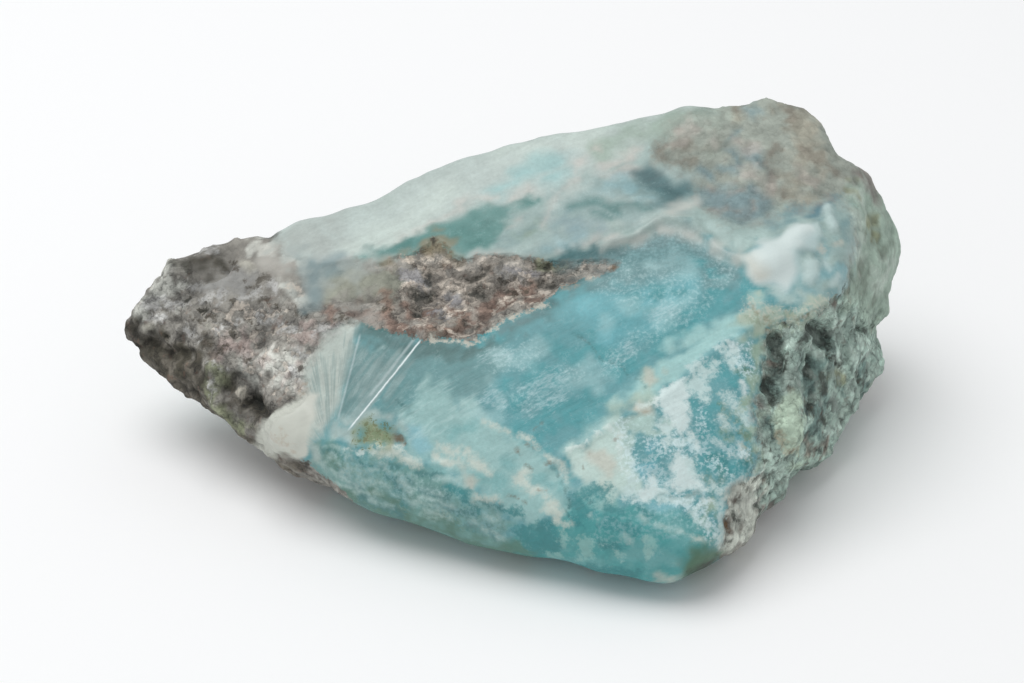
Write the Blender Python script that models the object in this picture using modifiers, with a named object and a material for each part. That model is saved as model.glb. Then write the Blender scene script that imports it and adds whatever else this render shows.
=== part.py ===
"""Rough larimar: a broken wedge of blue pectolite still in its grey-brown volcanic matrix.

One solid, as the stone is one piece. It is the hull of the stone's main corners with its edges worn, then
roughened where it is bare matrix, given its ledge, hollows and lumps, and cut flat underneath to rest.
"""

import bmesh
import bpy
import numpy as np
from mathutils import Matrix, Vector, noise

MM = 0.001

# Driving sizes, in millimetres
FACE_SIZE = 0.75
TRIANGLES_BEFORE_CUT = 11200
CUTTER_SIDE = 90.0

# Main corners of the stone, in millimetres, before wear. +X runs along the stone from its nose to its
# thick end, +Y from the low front edge to the back, and height 0 is the flat it rests on.
UPPER_EDGE = (
    (-31.6, 22.4, 9.2),
    (-29.4, 23.2, 12.0),
    (-27.4, 24.3, 13.9),
    (-24.8, 25.1, 14.9),
    (-18.5, 25.6, 15.2),
    (-16.2, 26.0, 16.4),
    (-12.8, 26.3, 17.5),
    (-6.5, 28.6, 19.0),
    (-0.6, 30.7, 21.6),
    (6.2, 31.1, 22.5),
    (15.0, 32.6, 23.6),
    (22.1, 35.2, 23.4),
    (25.7, 31.3, 21.2),
    (29.1, 30.1, 18.2),
    (32.0, 29.4, 12.0),
)
LOWER_EDGE = (
    (30.8, 25.2, 3.6),
    (24.8, 14.2, 2.0),
    (18.2, 3.8, 2.0),
    (11.6, -2.2, 1.8),
    (5.8, -0.8, 2.1),
    (-0.1, 1.3, 2.5),
    (-6.4, 4.0, 2.7),
    (-12.6, 6.4, 2.9),
    (-16.6, 9.6, 3.5),
    (-20.6, 13.1, 4.4),
    (-24.6, 17.2, 5.5),
    (-29.9, 20.2, 7.0),
)
RIGHT_WALL_TOP = (
    (15.6, -0.2, 5.0),
    (19.3, 7.6, 10.3),
    (20.3, 10.5, 13.6),
    (23.8, 14.9, 17.0),
    (27.8, 27.6, 19.8),
)
BLUE_FACE = (
    (-14.3, 7.6, 7.4),
    (-6.1, 3.5, 6.8),
    (2.4, 0.4, 6.4),
    (9.3, -1.5, 5.8),
    (14.0, -1.6, 5.0),
    (-8.8, 12.8, 14.6),
    (2.5, 14.3, 16.4),
    (8.2, 16.9, 17.9),
    (13.7, 20.4, 19.0),
    (18.6, 15.7, 17.6),
)
BACK = (
    (-22.0, 29.0, 8.0),
    (-9.0, 33.5, 9.0),
    (5.0, 36.5, 10.5),
    (18.0, 38.5, 11.0),
    (28.0, 35.0, 8.0),
)
UNDERSIDE = (
    (-13.0, 15.0, -0.9),
    (-5.0, 10.5, -0.9),
    (6.0, 5.8, -0.9),
    (11.5, 4.5, -0.9),
    (14.5, 8.0, -0.9),
    (20.5, 17.0, -0.9),
    (25.5, 26.0, -0.9),
    (23.0, 33.0, -0.9),
    (5.0, 32.5, -0.9),
    (-11.0, 28.0, -0.9),
    (-17.0, 21.0, -0.9),
)

# Where the blue stone is laid bare and smooth, seen from above, in millimetres
BLUE_FACE_OUTLINE = (
    (-17.0, 8.0),
    (-15.0, 14.5),
    (-9.0, 12.8),
    (-2.4, 12.6),
    (2.5, 14.3),
    (8.2, 17.4),
    (11.0, 19.8),
    (14.4, 19.8),
    (23.3, 16.3),
    (19.0, 12.0),
    (19.0, 8.0),
    (15.0, -4.0),
    (0.0, -4.0),
)
PALE_TOP_OUTLINE = (
    (-18.0, 24.0),
    (-8.0, 29.5),
    (11.0, 33.0),
    (10.5, 26.0),
    (19.0, 21.0),
    (15.0, 20.8),
    (3.0, 19.2),
    (-15.5, 20.8),
)

# Each lump (rise above 0) or hollow (below 0): the points it runs through, its reach and its rise
RELIEF = {
    "furrow under the brow": (((-26.5, 23.4, 13.4), (-24.4, 24.0, 14.3), (-21.8, 24.2, 14.9)), 1.0, -1.0),
    "bulge of the brow": (((-26.0, 25.0, 14.9), (-22.0, 25.5, 15.8)), 1.0, 0.4),
    "knob at the nose tip": (((-29.2, 21.4, 10.4),), 1.3, 0.5),
    "green lump low on the nose": (((-23.3, 16.0, 8.6), (-22.5, 14.8, 7.2)), 1.1, 0.8),
    "hollow beside the green lump": (((-21.0, 14.4, 8.9), (-19.9, 12.8, 8.0)), 1.1, -1.0),
    "cream lump": (((-17.4, 11.0, 8.2), (-17.4, 10.0, 6.8)), 1.9, 0.9),
    "saddle behind the nose": (((-18.4, 25.6, 15.2),), 1.8, -0.8),
    "dark slot in the right wall": (((19.8, 12.8, 14.9), (19.8, 10.3, 13.0), (19.4, 8.0, 11.0)), 1.2, -2.3),
    "round pit in the right wall": (((23.5, 15.9, 13.0),), 1.6, -2.3),
    "hollow below the round pit": (((22.1, 12.4, 13.0), (22.4, 12.7, 10.0)), 1.2, -1.2),
    "rib beside the slot": (((21.0, 11.6, 13.3), (20.9, 10.3, 10.9)), 0.8, 0.8),
    "pale green lump in the right wall": (((20.8, 9.8, 9.6), (20.6, 8.2, 7.6)), 1.4, 1.1),
    "far rib of the right wall": (((26.5, 18.9, 10.6), (26.3, 17.2, 5.0)), 1.0, 0.9),
    "white lump": (((19.2, 17.3, 18.6), (22.1, 19.7, 19.0)), 1.7, 0.9),
    "dark hollow on the top": (((10.4, 25.6, 20.6), (12.7, 24.3, 20.2)), 1.4, -0.6),
    "brown knob on the ledge": (((-5.8, 20.9, 17.8),), 0.9, 0.7),
    "bay in the right outline": (((31.0, 27.4, 9.0), (30.4, 26.2, 6.2), (28.6, 23.0, 7.4)), 1.6, -1.3),
    "knob in the right outline": (((30.8, 28.4, 8.8),), 0.6, 0.4),
    "notch by the peak": (((26.2, 31.8, 20.0),), 1.5, -1.2),
    "dip in the upper left edge": (((-15.0, 27.6, 17.0), (-10.5, 28.2, 18.0)), 1.6, -0.8),
    "dip left of the peak": (((18.3, 34.3, 23.1),), 1.5, -0.5),
    "dip under the cream lump": (((-14.6, 8.6, 4.1), (-13.4, 8.5, 3.0), (-13.0, 11.0, 1.2)), 1.3, -0.6),
    "dip under the nose": (((-22.3, 15.6, 4.3), (-22.9, 17.9, 3.5), (-20.0, 19.0, 1.8)), 1.5, -0.8),
    "dip in the front foot": (((3.4, 0.5, 2.6), (3.4, 3.0, 0.8)), 1.6, -0.3),
    "dip at the right foot": (((22.1, 10.9, 3.4), (20.8, 12.6, 1.2)), 1.5, -0.9),
}

# Foot of the step where the pale top layer ends above the blue face
LEDGE = (
    (-15.0, 20.4, 15.2),
    (-11.0, 20.2, 16.4),
    (-6.3, 19.3, 17.0),
    (-2.5, 18.3, 17.2),
    (2.1, 18.2, 17.4),
    (6.0, 19.3, 18.2),
    (10.6, 20.4, 19.1),
    (14.4, 20.4, 19.3),
    (17.2, 18.2, 18.6),
    (18.6, 16.4, 17.8),
)
LEDGE_REACH = 2.2
LEDGE_STEP = 0.55
LEDGE_UPHILL = (0.0, 1.0, 0.5)

# The strip of matrix left between the blue face and the pale top
MATRIX_STRIP = (
    (-17.0, 18.2, 13.2),
    (-10.1, 16.6, 15.0),
    (-2.4, 15.5, 16.0),
    (2.1, 16.3, 16.9),
    (8.2, 18.6, 18.4),
)
STRIP_REACH = 2.3
STRIP_DEPTH = 0.5

# Roughness of the broken surface: wavelength and height of each size of grain, in millimetres, with the
# share of it left on the smooth faces and the share that the back has
BREAK_GRAIN = ((6.5, 0.40), (3.4, 0.42), (2.0, 0.34))
SMOOTH_SHARE = 0.22
BACK_SHARE = 1.9
FACE_EDGE_BLEND = 1.0

# How far a face is turned, as a share of its normal, where it starts and ends counting as each side
FRONT_TURN = (0.2, 0.5)
RIGHT_WALL_TURN = (0.45, 0.7)
BACK_TURN = (0.65, 0.9)


def clear_scene():
    for old in list(bpy.data.objects):
        bpy.data.objects.remove(old)


def new_collection(name):
    made = bpy.data.collections.new(name)
    bpy.context.scene.collection.children.link(made)
    return made


def stone_material():
    made = bpy.data.materials.new("larimar in matrix")
    made.use_nodes = True
    finish = made.node_tree.nodes["Principled BSDF"]
    finish.inputs["Base Color"].default_value = (0.25, 0.45, 0.44, 1.0)
    finish.inputs["Roughness"].default_value = 0.45
    finish.inputs["Metallic"].default_value = 0.0
    return made


def remeshed(mesh, wear, collection):
    """The same shape in even faces of one size, its edges worn by that many rounds of smoothing."""
    shape = bpy.data.objects.new("worn block", mesh)
    collection.objects.link(shape)
    grid = shape.modifiers.new("even faces", "REMESH")
    grid.mode = "VOXEL"
    grid.voxel_size = FACE_SIZE * MM
    smooth = shape.modifiers.new("worn edges", "SMOOTH")
    smooth.iterations = wear
    graph = bpy.context.evaluated_depsgraph_get()
    made = bpy.data.meshes.new_from_object(shape.evaluated_get(graph))
    bpy.data.objects.remove(shape)
    return made


def corner_block():
    """The convex block over all the main corners."""
    shape = bmesh.new()
    for group in (UPPER_EDGE, LOWER_EDGE, RIGHT_WALL_TOP, BLUE_FACE, BACK, UNDERSIDE):
        for corner in group:
            shape.verts.new(Vector(corner) * MM)
    made = bmesh.ops.convex_hull(shape, input=shape.verts)
    inside = [part for part in made["geom_interior"] if isinstance(part, bmesh.types.BMVert)]
    bmesh.ops.delete(shape, geom=inside, context="VERTS")
    bmesh.ops.recalc_face_normals(shape, faces=shape.faces)
    mesh = bpy.data.meshes.new("corner block")
    shape.to_mesh(mesh)
    shape.free()
    return mesh


def nearest_on_path(points, path):
    """For each point, the nearest point of a path through the given corners."""
    path = np.array(path, float)
    if len(path) == 1:
        return np.repeat(path, len(points), axis=0)
    best = np.full(len(points), np.inf)
    found = np.zeros_like(points)
    for start, end in zip(path[:-1], path[1:]):
        run = end - start
        share = np.clip((points - start) @ run / (run @ run), 0, 1)
        near = start + share[:, None] * run
        gap = np.linalg.norm(points - near, axis=1)
        closer = gap < best
        best[closer] = gap[closer]
        found[closer] = near[closer]
    return found


def depth_inside(points, outline):
    """How far each point lies inside a closed outline seen from above, and below 0 outside it."""
    corners = np.array(outline, float)
    ends = np.roll(corners, -1, axis=0)
    gap = np.full(len(points), np.inf)
    inside = np.zeros(len(points), bool)
    for start, end in zip(corners, ends):
        run = end - start
        share = np.clip((points - start) @ run / (run @ run), 0, 1)
        gap = np.minimum(gap, np.linalg.norm(points - start - share[:, None] * run, axis=1))
        spans = (start[1] > points[:, 1]) != (end[1] > points[:, 1])
        climb = run[1] if run[1] != 0 else 1.0
        inside ^= spans & (points[:, 0] < start[0] + run[0] * (points[:, 1] - start[1]) / climb)
    return np.where(inside, gap, -gap)


def bell(gap, reach):
    return np.exp(-((gap / reach) ** 2))


def eased(value, low, high):
    """0 below low, 1 above high, and a smooth rise between."""
    share = np.clip((value - low) / (high - low), 0, 1)
    return share * share * (3 - 2 * share)


def smooth_share(points, normals):
    """1 on the smooth blue and pale faces, 0 on bare matrix."""
    blue = depth_inside(points[:, :2], BLUE_FACE_OUTLINE)
    pale = depth_inside(points[:, :2], PALE_TOP_OUTLINE)
    window = eased(np.maximum(blue, pale), -FACE_EDGE_BLEND, FACE_EDGE_BLEND)
    towards_front = eased(normals[:, 2] - normals[:, 1], *FRONT_TURN)
    off_the_wall = 1 - eased(normals[:, 0], *RIGHT_WALL_TURN)
    return window * towards_front * off_the_wall


def broken_grain(points):
    """The height of the broken surface at each point, from large lumps down to coarse grains."""
    height = np.zeros(len(points))
    for wavelength, rise in BREAK_GRAIN:
        height += rise * np.array([noise.noise(Vector(p) / wavelength) for p in points])
    return height


def weathered(mesh):
    """Moves each vertex along its normal by the grain, the ledge, the strip and every lump and hollow."""
    count = len(mesh.vertices)
    places = np.empty(count * 3)
    mesh.vertices.foreach_get("co", places)
    points = places.reshape(-1, 3) / MM
    normals = np.array([vertex.normal[:] for vertex in mesh.vertices])
    smooth = smooth_share(points, normals)
    strip = bell(np.linalg.norm(points - nearest_on_path(points, MATRIX_STRIP), axis=1), STRIP_REACH)
    rough = 1 - smooth * (1 - strip) * (1 - SMOOTH_SHARE)
    rough *= 1 + (BACK_SHARE - 1) * eased(normals[:, 1], *BACK_TURN)
    move = broken_grain(points) * rough - STRIP_DEPTH * strip
    from_ledge = points - nearest_on_path(points, LEDGE)
    near_ledge = bell(np.linalg.norm(from_ledge, axis=1), LEDGE_REACH)
    above_ledge = np.tanh(from_ledge @ LEDGE_UPHILL)
    move += LEDGE_STEP * near_ledge * above_ledge
    for path, reach, rise in RELIEF.values():
        gap = np.linalg.norm(points - nearest_on_path(points, path), axis=1)
        move += rise * bell(gap, reach)
    moved = (points + normals * move[:, None]) * MM
    mesh.vertices.foreach_set("co", moved.ravel())
    mesh.update()
    return mesh


def plan_middle(mesh):
    """The middle of the stone's length and depth, at height 0."""
    corners = np.array([vertex.co[:] for vertex in mesh.vertices])
    middle = (corners.min(axis=0) + corners.max(axis=0)) / 2
    return Vector((middle[0], middle[1], 0))


def flat_cutter(collection):
    """A block whose top lies at height 0, which takes off all that is below it."""
    shape = bmesh.new()
    bmesh.ops.create_cube(shape, size=CUTTER_SIDE * MM)
    bmesh.ops.translate(shape, verts=shape.verts, vec=(0, 0, -CUTTER_SIDE / 2 * MM))
    mesh = bpy.data.meshes.new("flat cutter")
    shape.to_mesh(mesh)
    shape.free()
    made = bpy.data.objects.new("flat_cutter", mesh)
    made.hide_render = True
    made.display_type = "WIRE"
    collection.objects.link(made)
    return made


clear_scene()
stone_parts = new_collection("rough larimar")
cutters = new_collection("cutters")

block = remeshed(corner_block(), 2, stone_parts)
broken = remeshed(weathered(block), 1, stone_parts)
middle = plan_middle(broken)
broken.transform(Matrix.Translation(-middle))
broken.shade_smooth()
stone = bpy.data.objects.new("larimar_stone", broken)
stone_parts.objects.link(stone)
stone.data.materials.append(stone_material())

fewer = stone.modifiers.new("fewer faces", "DECIMATE")
fewer.ratio = TRIANGLES_BEFORE_CUT / (2 * len(broken.polygons))
fewer.use_collapse_triangulate = True
underside = stone.modifiers.new("flat underside", "BOOLEAN")
underside.operation = "DIFFERENCE"
underside.object = flat_cutter(cutters)
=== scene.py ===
import math

import bpy
import numpy as np
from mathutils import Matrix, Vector, noise


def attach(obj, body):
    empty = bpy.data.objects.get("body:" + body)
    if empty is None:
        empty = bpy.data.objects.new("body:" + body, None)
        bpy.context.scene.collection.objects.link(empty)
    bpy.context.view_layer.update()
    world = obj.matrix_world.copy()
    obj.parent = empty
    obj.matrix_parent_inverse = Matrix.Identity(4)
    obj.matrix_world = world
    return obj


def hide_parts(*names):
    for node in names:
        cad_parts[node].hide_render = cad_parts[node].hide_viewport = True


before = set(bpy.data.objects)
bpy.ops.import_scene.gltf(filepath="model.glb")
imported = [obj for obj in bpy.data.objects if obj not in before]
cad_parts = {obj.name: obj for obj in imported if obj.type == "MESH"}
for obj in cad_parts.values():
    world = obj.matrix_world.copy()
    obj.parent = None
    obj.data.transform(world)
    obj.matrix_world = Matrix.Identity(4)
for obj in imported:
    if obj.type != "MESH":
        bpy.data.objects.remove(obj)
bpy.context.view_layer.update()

MM = 0.001

# Camera
# It looks down on the stone's long side, 33 degrees above level, through a long lens from 22 cm away.
LENS = 100.0
FILM_WIDTH = 36.0
PHOTO_SIZE = (1024, 683)
VIEW_HEIGHT = math.radians(33)
VIEW_DISTANCE = 220.0
AIM = np.array((-0.352, -1.370, 11.2))
NEAREST_SEEN = 0.01
VIEW_AXIS = np.array((0, math.cos(VIEW_HEIGHT), -math.sin(VIEW_HEIGHT)))
VIEW_UP = np.array((0, math.sin(VIEW_HEIGHT), math.cos(VIEW_HEIGHT)))
VIEW_RIGHT = np.array((1, 0, 0))
EYE = AIM - VIEW_AXIS * VIEW_DISTANCE

bpy.ops.object.camera_add(location=EYE * MM, rotation=(math.pi / 2 - VIEW_HEIGHT, 0, 0))
camera = bpy.context.object
camera.data.lens = LENS
camera.data.sensor_width = FILM_WIDTH
camera.data.clip_start = NEAREST_SEEN
bpy.context.scene.camera = camera


# Stone
# One loose piece of rock, blue pectolite grown through grey-brown volcanic matrix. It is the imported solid
# in finer faces, with the grain, pits, ridges and cracks of its broken surface worked into the mesh.
FINE_FACE = 0.264
FACET_WEAR = 9
MERGE_GAP = 0.001

# The solid's loose triangles are merged, cut into even faces of that size, and the edges of its facets worn
# by that many rounds of smoothing
bpy.ops.object.select_all(action="DESELECT")
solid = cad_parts["larimar_stone"]
stone = bpy.data.objects.new("rough_larimar", solid.data.copy())
bpy.context.scene.collection.objects.link(stone)
stone.select_set(True)
bpy.context.view_layer.objects.active = stone
bpy.ops.object.mode_set(mode="EDIT")
bpy.ops.mesh.select_all(action="SELECT")
bpy.ops.mesh.remove_doubles(threshold=MERGE_GAP * MM)
bpy.ops.object.mode_set(mode="OBJECT")
fine = stone.modifiers.new("fine faces", "REMESH")
fine.mode = "VOXEL"
fine.voxel_size = FINE_FACE * MM
bpy.ops.object.modifier_apply(modifier=fine.name)
wear = stone.modifiers.new("worn facets", "SMOOTH")
wear.iterations = FACET_WEAR
bpy.ops.object.modifier_apply(modifier=wear.name)

mesh = stone.data
places = np.empty(len(mesh.vertices) * 3)
mesh.vertices.foreach_get("co", places)
points = places.reshape(-1, 3) / MM
normals = np.array([vertex.normal[:] for vertex in mesh.vertices])


def in_photograph(spots):
    """Where each spot lies in the photograph, in its pixels."""
    away = spots - EYE
    scale = PHOTO_SIZE[0] * LENS / FILM_WIDTH / (away @ VIEW_AXIS)
    return np.stack([PHOTO_SIZE[0] / 2 + scale * (away @ VIEW_RIGHT),
                     PHOTO_SIZE[1] / 2 - scale * (away @ VIEW_UP)], axis=1)


def eased(value, low, high):
    """0 below low, 1 above high, and a smooth rise between."""
    share = np.clip((value - low) / (high - low), 0, 1)
    return share * share * (3 - 2 * share)


# How far each seed moves the grains and the crumbs, and how sharply a seam falls off
GRAIN_STEP = np.array((17.3, 5.1, 9.7))
CRUMB_STEP = np.array((3.9, 11.3, 7.7))
SEAM_SHARPNESS = 1.6


def grain(size, seed=0):
    """Smooth random heights, about -0.7 to 0.7, whose lumps are about that many millimetres across."""
    shift = GRAIN_STEP * (seed + 1)
    return np.array([noise.noise(Vector(spot)) for spot in points / size + shift])


def crumbs(size, seed=0):
    """Rounded crumbs about that many millimetres across: 1 in their middles, 0 in the seams."""
    shift = CRUMB_STEP * (seed + 1)
    near = np.array([noise.voronoi(Vector(spot))[0][:2] for spot in points / size + shift])
    return np.clip((near[:, 1] - near[:, 0]) * SEAM_SHARPNESS, 0, 1)


# Where each vertex lies in the photograph. Natural edges wander, so most strokes are read a little off
# their place, by lumps of these millimetres and these pixels.
WANDER = ((2.6, 6.0), (1.1, 4.0))
straight = in_photograph(points)
wandering = straight.copy()
for size, shift in WANDER:
    wandering[:, 0] += shift * grain(size, 11)
    wandering[:, 1] += shift * grain(size, 12)

# How much each vertex belongs to the side that the photograph shows: its turn to the camera, as a cosine,
# at which that side ends and starts. A grain keeps the border from running straight.
SIDE_TURN = (-0.50, -0.15)
BORDER_LUMP = 2.5
BORDER_WANDER = 0.2
to_eye = EYE - points
to_eye /= np.linalg.norm(to_eye, axis=1)[:, None]
turn = (normals * to_eye).sum(axis=1) + BORDER_WANDER * grain(BORDER_LUMP, 18)
facing = eased(turn, *SIDE_TURN)

# Keeps the run of a single dot from dividing by nothing
NO_LENGTH = 1e-9


def gap_to_run(spots, start, end):
    """How far each spot lies from the straight run between two pixels of the photograph."""
    start, end = np.array(start, float), np.array(end, float)
    run = end - start
    share = np.clip((spots - start) @ run / max(run @ run, NO_LENGTH), 0, 1)
    return np.linalg.norm(spots - start - share[:, None] * run, axis=1)


def inside_outline(spots, outline):
    """Which spots lie inside an outline drawn on the photograph."""
    inside = np.zeros(len(spots), bool)
    for start, end in zip(outline, outline[1:] + outline[:1]):
        spans = (start[1] > spots[:, 1]) != (end[1] > spots[:, 1])
        climb = (end[1] - start[1]) or 1.0
        inside ^= spans & (spots[:, 0] < start[0] + (end[0] - start[0]) * (spots[:, 1] - start[1]) / climb)
    return inside


def depth_in(stroke, spots):
    """How deep each spot lies in a stroke, in pixels, below 0 outside it. A stroke is a brush line, its
    half width and then its points, or else the outline of a patch."""
    if isinstance(stroke[0], tuple):
        runs = zip(stroke, stroke[1:] + stroke[:1])
        gap = np.min([gap_to_run(spots, start, end) for start, end in runs], axis=0)
        return np.where(inside_outline(spots, stroke), gap, -gap)
    half_width, *path = stroke
    if len(path) == 1:
        path = path * 2
    gap = np.min([gap_to_run(spots, start, end) for start, end in zip(path[:-1], path[1:])], axis=0)
    return half_width - gap


# Depths are cut off at this many pixels
FAR = 40.0


def laid(strokes, behind=-FAR, spots=wandering):
    """How deep each vertex lies in any of the strokes. The photograph shows only the side that faces it,
    so the rest of the stone takes the value given for behind."""
    depth = np.full(len(spots), -FAR)
    for stroke in strokes:
        depth = np.maximum(depth, depth_in(stroke, spots))
    depth = np.clip(depth, -FAR, FAR)
    return depth * facing + behind * (1 - facing)


def keep(name, values):
    """Stores a value for each vertex on the mesh, for the material to read."""
    made = mesh.attributes.new(name, "FLOAT", "POINT")
    made.data.foreach_set("value", np.asarray(values, np.float32))


# How many pixels deeper a patch gets for each unit that its grain rises
PATCH_STEEPNESS = 90.0


def scattered(size, seed, cover):
    """Patches about that many millimetres across for the sides that the photograph doesn't show: how deep
    each vertex lies in one, in pixels. The more cover, the more of the stone they take."""
    return np.clip(PATCH_STEEPNESS * (grain(size, seed) + cover), -FAR, FAR)


# Where the stone is bare matrix: the nose with the band below the ledge, and the top and right wall. Of the
# sides that the photograph doesn't show, most is matrix too, with patches of blue.
hidden_rock = 20 + 60 * grain(9.0, 3) + 16 * grain(3.0, 13)
rock = laid((
    ((100, 330), (125, 295), (150, 275), (170, 245), (200, 232), (240, 225), (272, 226), (280, 240),
     (292, 256), (320, 262), (345, 265), (375, 262), (410, 256), (425, 248), (432, 238), (445, 241),
     (455, 256), (470, 260), (490, 259), (515, 257), (535, 258), (550, 260), (562, 265), (575, 262),
     (590, 260), (605, 259), (618, 262), (612, 268), (597, 275), (575, 282), (558, 290), (545, 300),
     (530, 309), (515, 315), (502, 324), (492, 332), (482, 339), (465, 340), (440, 339), (425, 340),
     (410, 334), (395, 333), (378, 330), (362, 322), (340, 324), (325, 335), (318, 350), (312, 368),
     (306, 398), (294, 408), (280, 422), (270, 434), (268, 444), (274, 450), (288, 452), (300, 457),
     (318, 470), (330, 480), (350, 500), (362, 512), (340, 530), (300, 500), (250, 470), (200, 430),
     (150, 395), (110, 360)),
    ((666, 126), (702, 112), (735, 90), (790, 80), (860, 130), (930, 220), (920, 310), (910, 400),
     (850, 490), (780, 550), (735, 565), (719, 552), (724, 530), (729, 508), (724, 494), (734, 484),
     (750, 478), (758, 460), (760, 440), (757, 425), (752, 409), (759, 393), (764, 370), (764, 345),
     (762, 330), (775, 322), (800, 318), (822, 306), (838, 296), (848, 280), (852, 250), (850, 215),
     (838, 196), (815, 206), (790, 208), (770, 215), (745, 223), (722, 220), (708, 212), (700, 198),
     (696, 178), (674, 166), (656, 158), (652, 145)),
), hidden_rock)
keep("rock", rock)
in_rock = eased(rock, -2, 5)

# How calm the matrix is: worn smooth at the stone's top right, beside the ledge, on the nose and on one rib
calm = eased(laid((
    ((640, 90), (800, 70), (870, 130), (930, 230), (920, 300), (880, 316), (848, 296), (850, 215),
     (820, 225), (770, 235), (700, 225), (650, 190)),
    ((290, 250), (345, 256), (385, 262), (398, 282), (385, 298), (345, 302), (300, 302), (280, 285)),
    ((188, 262), (246, 234), (285, 236), (298, 262), (292, 298), (240, 306), (198, 300)),
    (1, (815, 348), (836, 424)), (1, (850, 350), (860, 396)),
    (4, (788, 400), (792, 440)), (2, (728, 495), (745, 490), (750, 520), (735, 540)),
)), -12, 12)
keep("calm", calm)

# Where the matrix grades into its neighbours with no sharp edge, and over how many pixels at most
SOFTEST_EDGE = 10
keep("soft", SOFTEST_EDGE * np.maximum(calm, eased(laid((
    (12, (276, 234), (290, 256), (345, 266)), (7, (350, 326), (322, 340), (310, 370), (302, 392)),
    (5, (757, 335), (760, 370), (748, 405), (757, 440), (754, 470)), (7, (735, 480), (716, 500), (718, 545)),
    (5, (566, 263), (600, 258), (618, 262)),
)), -8, 8)))

# The relief of the broken matrix, and the faint swell of the cleaved blue faces: the height and then the
# size of each grain, in millimetres, with crumbs and pits besides. Calm matrix keeps less of it.
CRUMB_RISE = 0.16
CRUMB_SIZE = 1.0
CRUMB_MIDDLE = 0.6
PIT_DEPTH = 0.22
PIT_SIZE = 1.1
LOST_WHERE_CALM = 0.55
rough = 0.36 * grain(3.0) + 0.25 * grain(1.5, 1) + 0.10 * grain(0.8, 2)
rough += CRUMB_RISE * (crumbs(CRUMB_SIZE) - CRUMB_MIDDLE)
pits = eased(grain(PIT_SIZE, 4), 0.25, 0.50)
broken = (rough - PIT_DEPTH * pits) * (1 - LOST_WHERE_CALM * calm)
swell = 0.08 * grain(4.0, 5) + 0.03 * grain(1.2, 6)
# The material paints shade into the matrix's hollows and light onto its tops by this height
keep("height", broken)

# Each ridge or hollow by the strokes that it follows: its rise in millimetres, its softness in pixels and
# whether its strokes wander
RELIEF = (
    (-0.70, 4, wandering, (
        (7, (775, 337), (779, 354)), (4, (781, 357), (781, 368)), (7, (768, 386), (773, 396)),
        (8, (812, 328), (824, 338)), (3, (809, 359)), (3, (862, 329)), (3, (831, 353)),
    )),
    (-0.50, 4, wandering, (
        (5, (414, 292), (423, 292)), (3, (416, 304), (420, 311)), (5, (468, 290), (486, 294)),
        (2, (424, 273), (428, 282)), (2, (462, 281), (478, 276), (492, 268), (518, 261)),
        (3, (540, 286), (560, 282)), (2, (575, 270), (590, 268)), (5, (184, 279), (206, 276), (224, 269)),
        (3, (235, 379), (230, 392)), (5, (250, 396), (262, 408)), (4, (207, 309)),
        (6, (150, 346), (190, 356)), (3, (170, 338)),
    )),
    (0.32, 4, wandering, (
        (3, (425, 336), (440, 333), (465, 336), (482, 334), (492, 325), (502, 315), (515, 308),
         (545, 299)),
    )),
    (0.22, 5, wandering, (
        (2, (545, 470), (575, 448), (600, 435), (625, 420), (655, 408), (700, 365), (757, 318)),
    )),
    (0.20, 4, wandering, ((2, (330, 442), (355, 444), (390, 449), (418, 464), (440, 462)),)),
    (-0.15, 3, wandering, (
        (1, (548, 463), (558, 480), (566, 495), (568, 515)), (1, (572, 332), (600, 355), (645, 382)),
    )),
    (0.35, 6, wandering, ((4, (610, 240), (640, 233), (660, 220), (690, 226), (722, 246), (742, 262)),)),
    (1.0, 11, straight, ((8, (176, 275), (198, 268), (214, 260)),)),
    (0.6, 10, straight, ((8, (800, 113), (815, 131), (825, 147)),)),
    (0.35, 12, wandering, ((12, (762, 264), (775, 262)), (8, (798, 236), (806, 232)))),
    (0.28, 5, straight, (
        (6, (810, 266), (811, 276)), (3, (827, 208), (833, 227)), (2, (816, 226), (819, 236)),
    )),
    (0.45, 4, straight, (
        (5, (147, 326)), (7, (213, 369), (217, 378)), (4, (213, 386), (218, 404)), (4, (247, 266)),
    )),
    (0.35, 4, wandering, (
        (3, (209, 328)), (4, (243, 391)), (5, (285, 290)), (3, (790, 348), (790, 385)),
        (3, (826, 304), (840, 330), (849, 352), (852, 388), (856, 410)),
    )),
    (0.25, 6, wandering, (
        (5, (136, 308), (158, 290), (170, 272)), (5, (178, 256), (205, 250), (235, 244)),
        (3, (152, 306), (188, 306)), (20, (285, 425)), (8, (790, 410), (794, 435)),
    )),
)
relief = in_rock * broken + (1 - in_rock) * swell
for rise, softness, spots, strokes in RELIEF:
    relief += rise * eased(laid(strokes, spots=spots), -softness, softness)

# The sides behind the outline lie a little deeper, so that their lumps don't show past it. The underside
# stays where it is.
BEHIND_DEPTH = 0.25
relief -= BEHIND_DEPTH * (1 - facing) * eased(normals[:, 2], -0.8, -0.3)

lifted = points + normals * relief[:, None]
lifted[:, 2] = np.maximum(lifted[:, 2], 0)
mesh.vertices.foreach_set("co", (lifted * MM).ravel())
mesh.update()
mesh.shade_smooth()

# Straight fibres fan out of this pixel at the left of the blue face, each so many radians wide and so
# many pixels long
FAN_FOOT = np.array((331.0, 453.0))
FIBRE_WIDTH = 0.05
FIBRE_LENGTH = 90.0
from_foot = straight - FAN_FOOT
keep("fan_turn", np.arctan2(from_foot[:, 0], -from_foot[:, 1]) / FIBRE_WIDTH)
keep("fan_reach", np.linalg.norm(from_foot, axis=1) / FIBRE_LENGTH)

# Colours. The blue stone, the matrix and what lies over both are painted apart. Each coat has soft washes,
# worked out on the vertices, and then crisp marks, which the material lays over them. Strokes are in
# pixels of the photograph.
TEAL = (0.37, 0.60, 0.62)
MATRIX = (0.50, 0.49, 0.465)

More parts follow.
